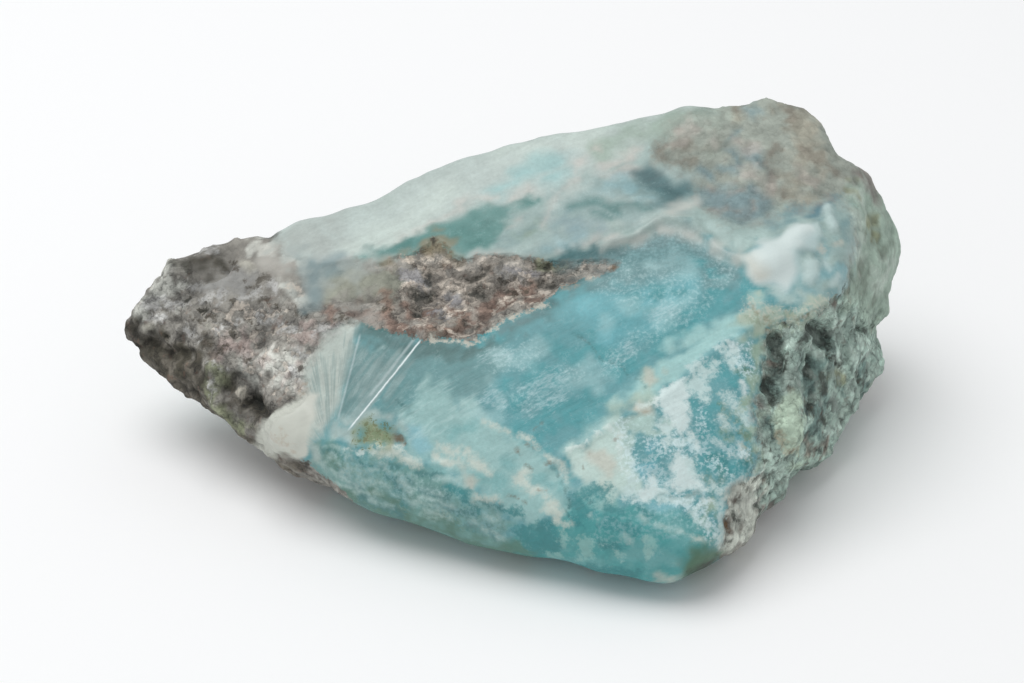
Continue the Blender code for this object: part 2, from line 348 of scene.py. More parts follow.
# Two uneven fields that break the edges of the washes: a torn one, and a smoother one that drifts
UNEVEN = {
    "torn": grain(1.1, 14) * 2.4 + grain(0.55, 15) * 1.4,
    "drift": grain(2.2, 16) * 2.6 + grain(1.1, 17) * 1.2,
}


def linear(colour):
    """A display colour as the light that it stands for, by the curve of displays above its dark foot."""
    return tuple(((c + 0.055) / 1.055) ** 2.4 for c in colour)


class Coat:
    """One coat of colour: the light that its washes return at each vertex, how much of the stone they cover
    there, and the marks over them."""

    def __init__(self):
        self.light = np.zeros((len(points), 3))
        self.cover = np.zeros(len(points))
        self.marks = []

    def wash(self, colour, strokes, edge=6.0, ragged=4.0, by="torn", strength=1.0, behind=-FAR,
             spots=wandering):
        """Lays a soft colour. Its edge is that soft, and that ragged by one of the uneven fields."""
        share = strength * eased(laid(strokes, behind, spots) + ragged * UNEVEN[by], -edge, edge)
        self.light += (np.array(linear(colour)) - self.light) * share[:, None]
        self.cover += (1 - self.cover) * share

    def mark(self, name, colour, strokes, edge=2.0, ragged=4.0, by="torn", strength=1.0, behind=-FAR,
             spots=wandering, deepest=FAR):
        """Leaves a crisp colour to the material, which breaks its edge by one of the grains. A mark that is
        never deep shows in specks alone."""
        keep(name, np.minimum(laid(strokes, behind, spots), deepest))
        self.marks.append((name, colour, edge, ragged, by, strength))


blue, matrix, over = Coat(), Coat(), Coat()
blue.light[:] = linear(TEAL)
matrix.light[:] = linear(MATRIX)

# The upper face, milky and soft. Its haze is pale partly from a painted reflection on the glossy top.
blue.wash((0.61, 0.69, 0.67), (  # upper ground
    ((240, 290), (262, 220), (330, 190), (430, 145), (520, 110), (610, 90), (720, 75), (745, 215),
     (700, 240), (640, 244), (560, 262), (450, 268), (360, 290), (300, 310)),
), edge=5, ragged=2)
blue.wash((0.56, 0.65, 0.64), (  # clouded middle
    ((480, 212), (545, 200), (570, 182), (600, 180), (640, 166), (700, 170), (712, 190), (715, 210),
     (690, 215), (655, 222), (610, 238), (580, 242), (540, 254), (485, 254), (490, 235)),
), edge=9, ragged=3, by="drift")
# Upper haze: pale stone, partly a painted reflection
blue.wash((0.71, 0.76, 0.74), (  # upper haze
    ((262, 262), (275, 220), (350, 190), (430, 158), (500, 122), (550, 118), (610, 104), (668, 92),
     (715, 88), (690, 125), (655, 130), (640, 150), (620, 162), (590, 172), (560, 184), (540, 198),
     (500, 203), (455, 212), (440, 222), (400, 238), (365, 248), (345, 262), (330, 256), (300, 258)),
), edge=7, ragged=2, by="drift", behind=scattered(7.0, 31, -0.25))
blue.wash((0.66, 0.69, 0.67), (  # haze grey
    (14, (300, 235), (325, 245)), (8, (335, 222), (345, 250)),
), edge=14, ragged=4, by="drift", strength=0.8)
# Haze light: a painted sheen on the top, over its pale stone
blue.wash((0.77, 0.82, 0.79), (  # haze light
    (12, (350, 250), (400, 228), (450, 196)), (10, (500, 148), (540, 150)), (9, (560, 140), (600, 135)),
), edge=14, ragged=4, by="drift", strength=0.7)
blue.wash((0.55, 0.73, 0.73), (  # cyan streaks
    (5, (492, 192), (520, 180), (540, 170)), (8, (520, 174), (560, 160)), (6, (545, 180), (572, 168)),
), edge=10, ragged=4, by="drift", strength=0.7)
blue.wash((0.57, 0.65, 0.59), (  # haze green
    (9, (604, 152), (626, 138), (662, 124), (700, 114)), (4, (612, 226), (622, 230)), (3, (385, 200)),
    (5, (535, 222), (528, 232)),
), edge=12, ragged=5, by="drift", strength=0.75)
blue.wash((0.77, 0.75, 0.72), (  # haze cream
    (2, (395, 241), (425, 229), (445, 214), (470, 204), (500, 199), (532, 192)),
    (2, (545, 225), (552, 203), (564, 188), (578, 179)), (2, (574, 172), (584, 158), (600, 148)),
    (4, (604, 172), (625, 160), (636, 148)), (2, (345, 262), (375, 264)), (2, (500, 226), (520, 218)),
    (4, (560, 246), (590, 239), (615, 236)), (3, (600, 178), (650, 166)),
), edge=7, ragged=3, strength=0.7)
blue.wash((0.68, 0.74, 0.72), (  # ring light
    (3, (552, 232), (556, 204), (570, 190), (590, 184)), (3, (600, 194), (630, 200), (660, 203)),
    (4, (565, 228), (600, 226), (640, 222), (660, 212)), (3, (515, 248), (545, 243), (575, 238)),
    (3, (664, 171), (682, 176), (696, 184)), (4, (638, 229), (668, 222)),
), edge=8, ragged=4, strength=0.7)
blue.wash((0.54, 0.69, 0.71), (  # cyan pool
    (6, (605, 184), (632, 188)), (5, (640, 197), (655, 197)), (4, (545, 246), (585, 234)),
), edge=8, ragged=4, strength=0.7)
blue.wash((0.33, 0.49, 0.48), (  # green swirl
    (5, (574, 203), (590, 199), (606, 204), (618, 208)), (3, (590, 196), (602, 200)),
    (2, (612, 206), (650, 208)), (3, (592, 212), (606, 216)),
), edge=6, ragged=1, strength=0.95)
blue.wash((0.47, 0.58, 0.60), (  # slate pool
    (4, (556, 224), (570, 216)), (5, (570, 228), (600, 230)), (4, (505, 238), (530, 228)),
), edge=8, ragged=5, strength=0.6)
blue.wash((0.31, 0.45, 0.46), (  # dark blob
    ((634, 172), (648, 163), (662, 170), (676, 179), (692, 177), (700, 186), (695, 199), (672, 205),
     (653, 199), (640, 187)),
), edge=8, ragged=4, by="drift", spots=straight)
blue.wash((0.23, 0.36, 0.37), (  # blob depths
    (5, (645, 174), (656, 182)), (3, (664, 190), (676, 194)),
), edge=7, ragged=4, strength=0.7, spots=straight)
blue.wash((0.37, 0.55, 0.53), (  # teal band
    ((352, 262), (364, 249), (400, 242), (425, 231), (445, 221), (460, 213), (480, 208), (505, 207),
     (512, 216), (500, 232), (486, 250), (465, 256), (432, 256), (400, 258), (372, 263)),
    (4, (500, 212), (520, 207), (538, 198)),
), edge=5, ragged=2)
blue.wash((0.27, 0.47, 0.45), (  # teal band dark
    (4, (390, 250), (415, 242)), (4, (452, 232), (470, 226), (486, 220)), (4, (468, 244), (480, 240)),
    (3, (522, 206), (538, 198)), (3, (372, 255), (385, 250)),
), edge=6, ragged=4, strength=0.75)
blue.wash((0.62, 0.70, 0.68), (  # band streaks
    (3, (496, 250), (510, 232), (530, 220)), (2, (510, 214), (530, 212), (545, 204)),
    (4, (520, 246), (545, 236)),
), edge=7, ragged=5, strength=0.7)

# The slope at the upper right, below the matrix
blue.wash((0.60, 0.69, 0.67), (  # right slope
    ((695, 196), (745, 185), (790, 200), (800, 186), (842, 186), (862, 215), (862, 255), (856, 290),
     (838, 300), (815, 300), (800, 285), (760, 245), (735, 252), (712, 238), (690, 215)),
), edge=7, ragged=4)
blue.wash((0.33, 0.49, 0.53), (  # slope slate
    (6, (810, 216), (822, 204), (838, 197)), (3, (812, 228), (818, 218)), (4, (790, 208), (806, 202)),
), edge=6, ragged=3, by="drift")
blue.wash((0.45, 0.58, 0.59), (  # slope shade
    (6, (824, 268), (836, 280)), (4, (806, 248), (818, 250)), (5, (770, 222), (795, 214)),
    (4, (840, 250), (842, 275)), (4, (700, 200), (716, 214)), (4, (836, 214), (846, 236)),
), edge=8, ragged=5, strength=0.8)
blue.wash((0.49, 0.67, 0.69), (  # slope teal
    (6, (826, 278), (842, 268)), (5, (806, 290), (832, 292)), (4, (822, 240), (830, 256)),
), edge=7, ragged=4, strength=0.8)
blue.wash((0.68, 0.77, 0.75), (  # slope milk
    (6, (730, 240), (765, 234)), (4, (834, 262), (842, 250)), (3, (822, 290), (832, 286)),
    (5, (700, 226), (716, 222)), (5, (766, 288), (784, 296), (806, 299)),
), edge=7, ragged=4, strength=0.8)

# The cleaved front face: its grounds, then its clouds, saturated patches and stripes, and the painted shadows
# below the band and the ledge
blue.wash((0.40, 0.575, 0.58), (  # grey left
    ((372, 340), (420, 345), (480, 345), (505, 355), (490, 400), (430, 400), (405, 412), (360, 430),
     (400, 370)),
), edge=10, ragged=5, by="drift")
blue.wash((0.40, 0.56, 0.57), (  # speckled slope
    ((555, 262), (575, 246), (640, 240), (680, 230), (710, 243), (740, 268), (748, 283), (715, 290),
     (680, 292), (640, 288), (605, 290), (570, 300)),
), edge=8, ragged=5)
# Lip shade: a painted shadow below the band's lip
blue.wash((0.26, 0.40, 0.39), (  # lip shade
    (9, (354, 322), (378, 330), (402, 337)),
    (8, (362, 331), (384, 338), (405, 345), (440, 349), (474, 348)),
    (6, (482, 347), (500, 336), (518, 326), (547, 313)), (6, (532, 314), (552, 306)),
    (6, (366, 340), (384, 350)),
), edge=8, ragged=3, strength=0.85)
blue.wash((0.42, 0.59, 0.57), (  # front strip
    ((310, 436), (345, 447), (395, 452), (430, 466), (465, 485), (500, 508), (515, 530), (520, 570),
     (470, 560), (430, 545), (390, 530), (360, 524), (330, 495), (312, 470)),
), edge=5, ragged=6)
blue.wash((0.29, 0.59, 0.59), (  # deep foot
    ((566, 500), (580, 486), (600, 492), (640, 502), (700, 512), (715, 540), (690, 590), (640, 595),
     (590, 590), (550, 570), (512, 565), (512, 530), (555, 520)),
), edge=5, ragged=6)
blue.wash((0.43, 0.65, 0.65), (  # foot milk
    (12, (655, 512), (690, 530)), (10, (640, 555), (670, 560)), (5, (560, 556), (600, 566)),
), edge=12, ragged=8, strength=0.7)
blue.wash((0.58, 0.73, 0.72), (  # pale front
    ((398, 412), (430, 385), (470, 398), (500, 425), (545, 450), (570, 480), (567, 515), (520, 522),
     (480, 500), (440, 475), (405, 455)),
), edge=9, ragged=6)
blue.wash((0.44, 0.65, 0.65), (  # pale front shade
    (9, (482, 482), (506, 488)), (5, (452, 488), (466, 496)), (4, (506, 462), (516, 474)),
    (4, (556, 482), (562, 496)), (4, (420, 462), (436, 474)), (4, (536, 478), (546, 486)),
    (5, (446, 432), (470, 424)),
), edge=7, ragged=4, strength=0.75)
blue.wash((0.40, 0.67, 0.70), (  # bright cyan
    (14, (590, 312), (640, 305), (690, 288)), (8, (610, 335), (650, 325)),
), edge=16, ragged=6, by="drift")
blue.wash((0.30, 0.59, 0.61), (  # clear blue
    (9, (552, 350), (582, 356)), (9, (530, 374), (546, 382)), (6, (512, 394), (540, 396)),
    (13, (560, 408), (590, 410), (606, 400)), (10, (518, 424), (545, 430), (562, 420), (580, 424)),
    (7, (535, 440), (556, 444)), (8, (592, 345), (632, 360)), (6, (640, 300), (676, 292)),
    (9, (610, 368), (640, 356), (668, 338), (695, 318), (722, 303), (752, 293)),
    (7, (700, 262), (724, 276)), (6, (562, 462), (574, 480)), (5, (720, 262), (748, 280)),
    (10, (694, 402), (712, 414), (714, 430)), (7, (718, 368), (735, 382)), (9, (705, 458), (735, 470)),
    (7, (642, 447), (655, 458)), (4, (742, 270), (754, 284)), (6, (480, 340), (505, 330)),
), edge=7, ragged=7, behind=scattered(5.0, 32, -0.05))
blue.wash((0.66, 0.80, 0.80), (  # milky clouds
    (6, (500, 366), (524, 354), (545, 352)), (6, (500, 366), (530, 356)), (7, (484, 380), (498, 398)),
    (9, (572, 376), (596, 380)), (5, (606, 316), (630, 300)), (6, (650, 326), (668, 312), (690, 298)),
    (6, (700, 292), (718, 282)), (5, (480, 414), (500, 420)), (6, (650, 266), (690, 272)),
    (5, (600, 280), (625, 276)),
), edge=10, ragged=9, by="drift", strength=0.42, behind=scattered(4.0, 33, 0.0))
# A painted sheen on the left of the front face, streaked by its fine scratches
blue.mark("scratches_and_painted_sheen", (0.72, 0.82, 0.81), (
    ((402, 416), (418, 392), (440, 384), (470, 392), (478, 404), (450, 420), (425, 432), (408, 430)),
    (8, (380, 360), (368, 386)),
), edge=8, ragged=12, by="face_fibre", strength=0.38, deepest=-4)
blue.wash((0.62, 0.79, 0.78), (  # pale stripe
    (6, (672, 350), (706, 332)), (10, (640, 390), (680, 364), (712, 340), (742, 320), (758, 308)),
    (7, (615, 404), (640, 390)),
), edge=6, ragged=3)
blue.wash((0.65, 0.73, 0.67), (  # green beige
    (8, (612, 408), (645, 396)), (5, (648, 377)), (5, (742, 322), (750, 336)),
    (4, (635, 412), (655, 402)),
), edge=9, ragged=5, strength=0.8)
# Slate strip: a painted shadow under the ledge, over darker teal
blue.wash((0.28, 0.44, 0.45), (  # slate strip
    (8, (584, 256), (600, 252), (620, 251)), (4, (553, 262), (572, 258)), (4, (620, 249), (642, 242)),
), edge=5, ragged=3, spots=straight)
# Slate wash: darker teal below the ledge and the band, partly painted shadow
blue.wash((0.36, 0.50, 0.51), (  # slate wash
    (4, (640, 244), (668, 238), (702, 250), (735, 275)), (4, (560, 276), (600, 270)),
    (5, (505, 326), (530, 318), (552, 306)), (4, (545, 296), (580, 284)),
), edge=8, ragged=5, strength=0.85)
blue.mark("deep_teal", (0.22, 0.51, 0.52), (
    ((514, 532), (520, 525), (545, 522), (558, 526), (562, 540), (558, 552), (540, 556), (522, 550)),
    (6, (446, 487), (464, 496)), (8, (574, 498), (584, 512)), (5, (572, 514), (578, 522)),
    (4, (585, 492), (606, 492)), (6, (604, 520), (634, 532)), (5, (585, 568), (640, 574)),
    (4, (396, 490), (408, 502)), (4, (505, 514), (520, 510)), (4, (345, 455), (356, 459)),
    (4, (368, 466), (380, 471)), (3, (470, 510), (490, 516)), (4, (710, 456), (722, 462)),
    (3, (728, 435), (745, 433)), (4, (740, 464), (746, 474)), (4, (606, 505), (622, 512)),
    (4, (602, 544), (620, 548)), (4, (640, 510), (650, 520)),
), edge=4, ragged=5, strength=0.85)
blue.mark("strip_depths", (0.29, 0.49, 0.49), (
    (3, (324, 449), (336, 454)), (4, (350, 456), (362, 462)), (4, (340, 472), (364, 486)),
    (5, (376, 464), (396, 468)), (5, (392, 480), (412, 484)), (4, (416, 474), (436, 478)),
    (4, (424, 492), (446, 500)), (4, (440, 506), (470, 514)), (4, (478, 500), (500, 510)),
    (4, (364, 496), (400, 510)), (4, (470, 522), (500, 532)),
), edge=4, ragged=4, strength=0.88)
blue.wash((0.33, 0.48, 0.42), (  # dull green
    (7, (352, 498), (390, 506), (420, 522), (455, 538), (490, 548), (530, 556)),
    (3, (708, 486), (722, 476)), (6, (370, 494), (400, 498)), (4, (440, 522), (465, 532)),
    (4, (330, 458), (345, 466)),
), edge=9, ragged=6, strength=0.85)
blue.wash((0.68, 0.75, 0.73), (  # fan foot
    (4, (308, 440), (318, 456)), (6, (338, 430), (352, 440)), (6, (346, 422), (368, 414), (392, 420)),
), edge=7, ragged=4, strength=0.8)
blue.wash((0.50, 0.72, 0.77), (  # cyan patches
    (7, (416, 436), (425, 448)), (6, (655, 508), (675, 505)), (3, (648, 450), (656, 444)),
    (4, (640, 470), (655, 468)),
), edge=7, ragged=4, strength=0.6)
blue.mark("pale_wisps", (0.70, 0.80, 0.78), (
    (1, (322, 463), (334, 456), (346, 466), (352, 476)), (1, (352, 456), (362, 468), (360, 480)),
    (1, (374, 455), (384, 466), (398, 474)), (1, (330, 480), (352, 486), (372, 482), (392, 489)),
    (1, (410, 474), (424, 490), (440, 496)), (1, (396, 492), (416, 504), (436, 508)),
    (1, (372, 498), (392, 504)), (1.5, (325, 446), (345, 450), (400, 449)),
    (2, (332, 472), (350, 480), (372, 478)), (3, (402, 482), (414, 492)), (1.5, (345, 464), (380, 471)),
    (2, (434, 481), (446, 478), (462, 486)), (1.5, (420, 500), (452, 506)), (2, (484, 515), (502, 519)),
    (1.5, (355, 490), (382, 492)), (1.5, (658, 524), (675, 530), (690, 538)), (2, (645, 540), (650, 556)),
    (1, (382, 462), (400, 476)), (1.5, (590, 513), (600, 517)), (1.5, (440, 510), (450, 520)),
    (1.5, (640, 520), (648, 524)), (2, (322, 462), (334, 474)), (1.5, (470, 520), (486, 530)),
    (1.5, (345, 452), (350, 462), (342, 470)), (1.5, (614, 550), (622, 556)), (1, (624, 538), (630, 543)),
    (2, (496, 530), (505, 538)), (2, (425, 512), (440, 518)),
), edge=4, ragged=2.5, strength=0.68)
blue.mark("foot_patches", (0.52, 0.70, 0.68), (
    ((576, 540), (590, 536), (602, 545), (592, 548), (590, 558), (578, 560), (574, 550)),
    ((643, 538), (652, 536), (656, 545), (650, 558), (645, 556)), (3, (614, 552), (620, 556)),
    (3, (548, 554), (560, 553)), (3, (556, 526), (564, 540)),
), edge=3, ragged=5, strength=0.85)
blue.wash((0.57, 0.67, 0.60), (  # green border
    (4, (757, 330), (758, 360), (752, 390), (744, 412)),
    (3, (730, 430), (748, 428), (756, 447), (757, 465)), (3, (712, 500), (718, 520)),
), edge=6, ragged=7, behind=np.clip(2 - np.abs(rock + 5), -FAR, FAR))
blue.mark("green_depth", (0.33, 0.50, 0.44), (
    (4, (742, 420), (750, 436)), (3, (728, 425), (735, 420)), (3, (700, 480), (712, 478)),
    (3, (744, 455), (750, 462)), (3, (740, 366), (746, 374)), (3, (722, 404), (732, 412)),
), edge=4, ragged=8, strength=0.8)
blue.mark("fan_plane", (0.42, 0.56, 0.56), (
    ((346, 340), (372, 350), (400, 356), (412, 360), (356, 418), (337, 414), (340, 390), (346, 360)),
), edge=5, ragged=3, by="left_fibre")
blue.mark("fan_light", (0.62, 0.70, 0.69), (
    (6, (401, 357), (352, 418)), (6, (380, 366), (362, 394)), (3, (364, 354), (352, 392)),
    (6, (398, 380), (388, 394)),
), edge=6, ragged=8, by="left_fibre", strength=0.55, spots=straight)
blue.mark("pale_fibres", (0.71, 0.75, 0.72), (
    ((304, 340), (326, 316), (366, 316), (358, 332), (346, 362), (334, 412), (324, 432), (305, 442),
     (292, 400)),
), edge=6, ragged=2, by="fan")
blue.mark("fan_dark", (0.40, 0.53, 0.53), (
    (2, (400, 340), (362, 390)), (1.5, (372, 340), (346, 404)), (2, (424, 350), (390, 392)),
    (2, (385, 398), (410, 412)), (4, (338, 360), (328, 415)), (4, (322, 362), (313, 415)),
    (3, (350, 345), (340, 380)),
), edge=5, ragged=12, by="fan", strength=0.42, spots=straight, deepest=0)

# The cream and white growths of the front
blue.wash((0.64, 0.77, 0.75), (  # wedge halo
    (5, (562, 450), (580, 438), (606, 424)), (3, (570, 484), (600, 496), (622, 506)),
), edge=8, ragged=4, strength=0.6)
blue.wash((0.72, 0.81, 0.78), (  # wedge
    ((564, 457), (574, 446), (590, 438), (612, 427), (622, 424), (630, 440), (633, 470), (638, 490),
     (626, 502), (605, 491), (590, 484), (575, 477), (567, 467)),
), edge=5, ragged=4)
blue.mark("wedge_rim", (0.80, 0.86, 0.84), (
    (1.5, (568, 452), (590, 440), (613, 428)), (1.5, (616, 428), (621, 450), (627, 476)),
    (2, (658, 404), (640, 410)), (1, (348, 449), (372, 450), (398, 447)),
), edge=3, ragged=5, strength=0.7)
blue.wash((0.65, 0.76, 0.73), (  # flecked green
    ((622, 424), (645, 416), (670, 425), (668, 440), (645, 440), (632, 446)),
), edge=5, ragged=6)
blue.wash((0.75, 0.75, 0.70), (  # cream centre
    (8, (588, 452), (606, 460), (610, 474)), (2, (462, 478), (472, 486)), (2, (650, 376)),
    (2, (664, 579), (680, 577)), (2, (632, 412), (650, 412)),
), edge=8, ragged=5, strength=0.75)
blue.mark("cream_patches", (0.76, 0.80, 0.76), (
    (4, (383, 451), (405, 456), (416, 464)), (4, (435, 457), (456, 464)), (3, (440, 448), (458, 452)),
    (4, (466, 458), (480, 466), (492, 474)), (2, (475, 497), (500, 503)),
    (4, (524, 474), (522, 484), (535, 492)), (3, (535, 492), (552, 505)), (5, (545, 508), (558, 514)),
    (1.5, (694, 541), (712, 537), (722, 540)), (2, (515, 434), (540, 446)), (2, (505, 432), (482, 421)),
    (2, (548, 455), (556, 462), (562, 476)), (3, (556, 520), (566, 524)),
), edge=4.5, ragged=3, strength=0.9)
blue.mark("white_patches", (0.81, 0.87, 0.86), (
    ((655, 397), (664, 388), (673, 383), (683, 381), (686, 392), (682, 404), (687, 416), (689, 428),
     (684, 438), (676, 438), (668, 426), (664, 411), (657, 405)),
    ((668, 470), (676, 458), (684, 453), (692, 458), (698, 467), (699, 480), (703, 490), (694, 493),
     (682, 490), (672, 490), (667, 484), (673, 476)),
    ((633, 490), (642, 486), (648, 474), (653, 473), (657, 485), (664, 491), (658, 497), (646, 500),
     (635, 500)),
    (4, (732, 350), (736, 343)), (3, (740, 386), (742, 395)), (2, (714, 440), (722, 444)),
    (3, (741, 444), (742, 456)), (4, (692, 436), (696, 446)), (2, (729, 456), (736, 458)),
    (2, (700, 500), (708, 498)), (4, (664, 432), (668, 442)),
), edge=4.5, ragged=4, strength=0.9, behind=scattered(2.4, 34, -0.48))
blue.mark("soft_white", (0.74, 0.83, 0.82), (
    (4, (690, 371), (700, 366)),
    ((684, 381), (696, 371), (708, 363), (717, 358), (714, 368), (706, 378), (708, 390), (690, 394)),
    (6, (726, 350), (738, 360)), (4, (700, 388), (706, 398)), (4, (666, 434), (660, 424)),
    (4, (630, 480), (628, 496)), (4, (696, 505), (704, 522)), (4, (728, 398), (736, 408)),
    (5, (660, 498), (690, 500)), (3, (676, 444), (690, 442)), (3, (724, 420), (734, 426)),
    (5, (710, 484), (720, 490)), (4, (667, 430), (668, 442)), (4, (712, 536), (722, 542)),
    (4, (716, 529), (724, 536)), (3, (694, 462), (698, 474)), (4, (722, 500), (720, 526)),
    (3, (724, 486), (738, 480)), (4, (746, 414), (750, 424)),
), edge=5, ragged=6, strength=0.9)
blue.mark("fine_specks", (0.76, 0.86, 0.86), (
    ((620, 430), (660, 420), (700, 430), (750, 400), (752, 470), (715, 490), (700, 520), (640, 510),
     (628, 480)),
    ((640, 248), (690, 240), (730, 270), (690, 296), (620, 300), (600, 290)), (6, (525, 400), (575, 375)),
    (4, (608, 364), (650, 334), (700, 302)), (5, (350, 462), (390, 476), (440, 500), (500, 520)),
    (7, (496, 362), (524, 352)), (9, (610, 530), (680, 520)), (6, (730, 345), (748, 372)),
), edge=8, ragged=9, by="fleck", strength=0.32, deepest=-4)
blue.mark("white_flecks", (0.80, 0.88, 0.89), (
    (3, (622, 426), (630, 450), (634, 472)), (4, (654, 462), (662, 480)), (3, (680, 445), (702, 450)),
    (3, (640, 466), (650, 476)), (3, (702, 500), (708, 530)), (2, (725, 448), (745, 452)),
    (2, (744, 345), (750, 372)), (3, (654, 444), (664, 452)), (2, (676, 496), (694, 510)),
    (2, (712, 462), (722, 472)), (2, (700, 410), (706, 440)),
), edge=5, ragged=8, by="fleck", strength=0.54, deepest=0)
blue.mark("scratches", (0.76, 0.86, 0.87), (
    (6, (532, 390), (550, 380), (562, 379)), (3, (528, 414), (560, 394)), (3, (484, 396), (502, 400)),
    (4, (655, 314), (672, 308)), (3, (610, 362), (630, 348)), (3, (480, 360), (506, 353)),
), edge=6, ragged=8, by="scratch", strength=0.38, deepest=0)
blue.mark("dark_flecks", (0.26, 0.52, 0.54), (
    (4, (545, 385), (575, 390)), (4, (650, 460), (668, 478)), (6, (640, 250), (700, 262)),
    (3, (500, 405), (515, 412)), (4, (700, 440), (740, 440)), (6, (350, 465), (400, 475)),
    (6, (450, 510), (500, 525)), (4, (706, 480), (722, 490)), (4, (732, 400), (744, 420)),
    (8, (600, 515), (660, 545)),
), edge=5, ragged=11, by="fleck", strength=0.4, deepest=-4)
blue.mark("cracks", (0.25, 0.44, 0.44), (
    (0.4, (572, 332), (600, 355), (645, 386)), (0.9, (550, 466), (556, 476), (562, 485), (567, 496)),
    (0.5, (567, 496), (566, 508), (570, 520)), (0.6, (395, 400), (410, 408)),
    (0.5, (556, 456), (549, 464)), (0.4, (655, 496), (700, 494)), (0.5, (574, 505), (590, 497)),
), edge=2.5, ragged=2, strength=0.7)

# Bright lines in the fan: from pixel to pixel, with a half width in pixels and a strength. The first is a
# painted highlight and the second a soft painted sheen along the crease between two fibre planes; the last is
# a pale hair line. The material draws each from two smooth fields, how far to its side and how far along it a
# place lies.
HIGHLIGHT_AND_HAIR_LINES = (
    ((421, 340), (348, 431), 1.4, 0.95),
    ((415, 338), (368, 398), 2.4, 0.28),
    ((360, 334), (338, 420), 1.8, 0.25),
)
for number, (head, foot, half_width, strength) in enumerate(HIGHLIGHT_AND_HAIR_LINES):
    run = np.subtract(foot, head)
    length = np.linalg.norm(run)
    keep(f"highlight_and_hair_side_{number}", (straight - head) @ np.array((-run[1], run[0])) / length)
    keep(f"highlight_and_hair_along_{number}", (straight - head) @ run / length ** 2)

# The matrix, from its grounds to its stains, with painted shade in its crevices and gaps, and painted light
# on the nose's rims
matrix.wash((0.48, 0.53, 0.49), (), edge=10, behind=scattered(10.0, 35, 0.0))  # hidden sides
matrix.wash((0.58, 0.66, 0.62), (  # wall ground
    ((755, 325), (800, 312), (840, 295), (900, 290), (895, 400), (830, 490), (790, 505), (752, 500),
     (748, 420)),
), edge=8, ragged=8, behind=scattered(8.0, 36, -0.1))
matrix.wash((0.36, 0.45, 0.43), (  # wall dark
    (10, (812, 362), (812, 400), (822, 430)), (8, (826, 350), (834, 364)), (5, (838, 380), (846, 396)),
    (7, (777, 342), (777, 390)), (7, (862, 366), (866, 392)), (5, (800, 425), (816, 440)),
    (4, (798, 350), (800, 376)), (4, (768, 418), (774, 430)), (4, (846, 292), (858, 284)),
), edge=7, ragged=8, strength=0.9, behind=scattered(4.0, 37, -0.25))
matrix.wash((0.66, 0.73, 0.69), (  # wall light
    (4, (826, 304), (840, 330), (849, 352), (852, 388), (856, 410)), (4, (868, 312), (876, 330)),
    (3, (803, 347), (822, 350)), (4, (872, 372), (878, 376)), (5, (840, 420), (850, 410)),
    (4, (830, 432), (838, 430)), (4, (786, 322), (796, 340)), (5, (790, 345), (793, 394)),
    (4, (838, 356), (842, 372)), (4, (840, 326), (846, 340)), (4, (761, 354), (764, 372)),
    (3, (763, 325), (767, 331)), (3, (750, 470), (757, 500), (762, 515)), (4, (756, 424), (766, 448)),
    (4, (776, 470), (786, 484)), (5, (862, 340), (868, 352)), (4, (833, 318), (846, 336)),
), edge=5, ragged=5, strength=0.85, behind=scattered(3.0, 38, -0.3))
matrix.wash((0.57, 0.64, 0.59), (  # upper right
    ((840, 180), (930, 230), (930, 345), (880, 330), (840, 300), (848, 250)),
), edge=12, ragged=8, by="drift")
matrix.wash((0.67, 0.72, 0.68), (  # upper right light
    (7, (856, 215), (860, 240)), (5, (850, 200), (862, 196)), (5, (886, 262), (878, 290)),
    (4, (856, 248), (860, 258)),
), edge=9, ragged=6, strength=0.8)
matrix.wash((0.40, 0.45, 0.40), (  # upper right dark
    (4, (862, 270), (862, 286)), (4, (876, 232), (884, 246)), (4, (846, 270), (850, 290)),
    (3, (870, 295), (880, 302)), (3, (838, 170), (850, 176)),
), edge=8, ragged=6, strength=0.7)
matrix.wash((0.55, 0.575, 0.54), (  # top beige
    ((640, 120), (735, 90), (800, 75), (850, 140), (858, 190), (790, 212), (745, 192), (700, 190),
     (650, 165)),
), edge=10, ragged=6)
matrix.wash((0.58, 0.62, 0.58), (  # top green
    (9, (700, 120), (735, 115)), (5, (700, 158), (715, 150)), (8, (700, 218), (740, 224)),
    (5, (770, 210), (786, 204)),
), edge=10, ragged=6, strength=0.8)
matrix.wash((0.43, 0.51, 0.52), (  # top slate
    (5, (732, 152), (740, 160)), (6, (752, 156), (764, 164)), (4, (745, 108), (758, 112)),
    (3, (716, 168), (735, 168)), (11, (712, 198), (745, 202)), (7, (750, 190), (765, 205)),
    (5, (720, 215), (745, 218)), (3, (730, 140), (736, 130)), (7, (732, 211), (764, 212)),
    (4, (700, 170), (712, 176)),
), edge=7, ragged=3, strength=0.95)
matrix.wash((0.58, 0.565, 0.51), (  # top tan
    (13, (800, 125), (812, 165)), (8, (790, 182), (800, 195)), (5, (780, 105)),
    (5, (740, 104), (735, 115)),
), edge=10, ragged=6, strength=0.75)
matrix.wash((0.46, 0.44, 0.40), (  # top brown
    (5, (655, 144), (664, 152)), (5, (678, 140), (692, 150)), (3, (700, 152), (694, 160)),
    (4, (806, 152), (815, 160)), (4, (770, 186), (785, 196)), (3, (735, 106)),
    (4, (775, 150), (770, 165)), (3, (720, 136), (728, 134)), (3, (790, 112), (785, 120)),
    (4, (826, 165), (838, 172)), (4, (672, 160), (688, 166)),
), edge=7, ragged=5, strength=0.75)
matrix.wash((0.62, 0.60, 0.57), (  # top pink
    (6, (674, 134), (690, 130)), (5, (738, 142), (752, 148)), (5, (748, 172), (768, 186)),
    (3, (712, 140)), (4, (804, 172), (812, 178)),
), edge=9, ragged=6, strength=0.7)
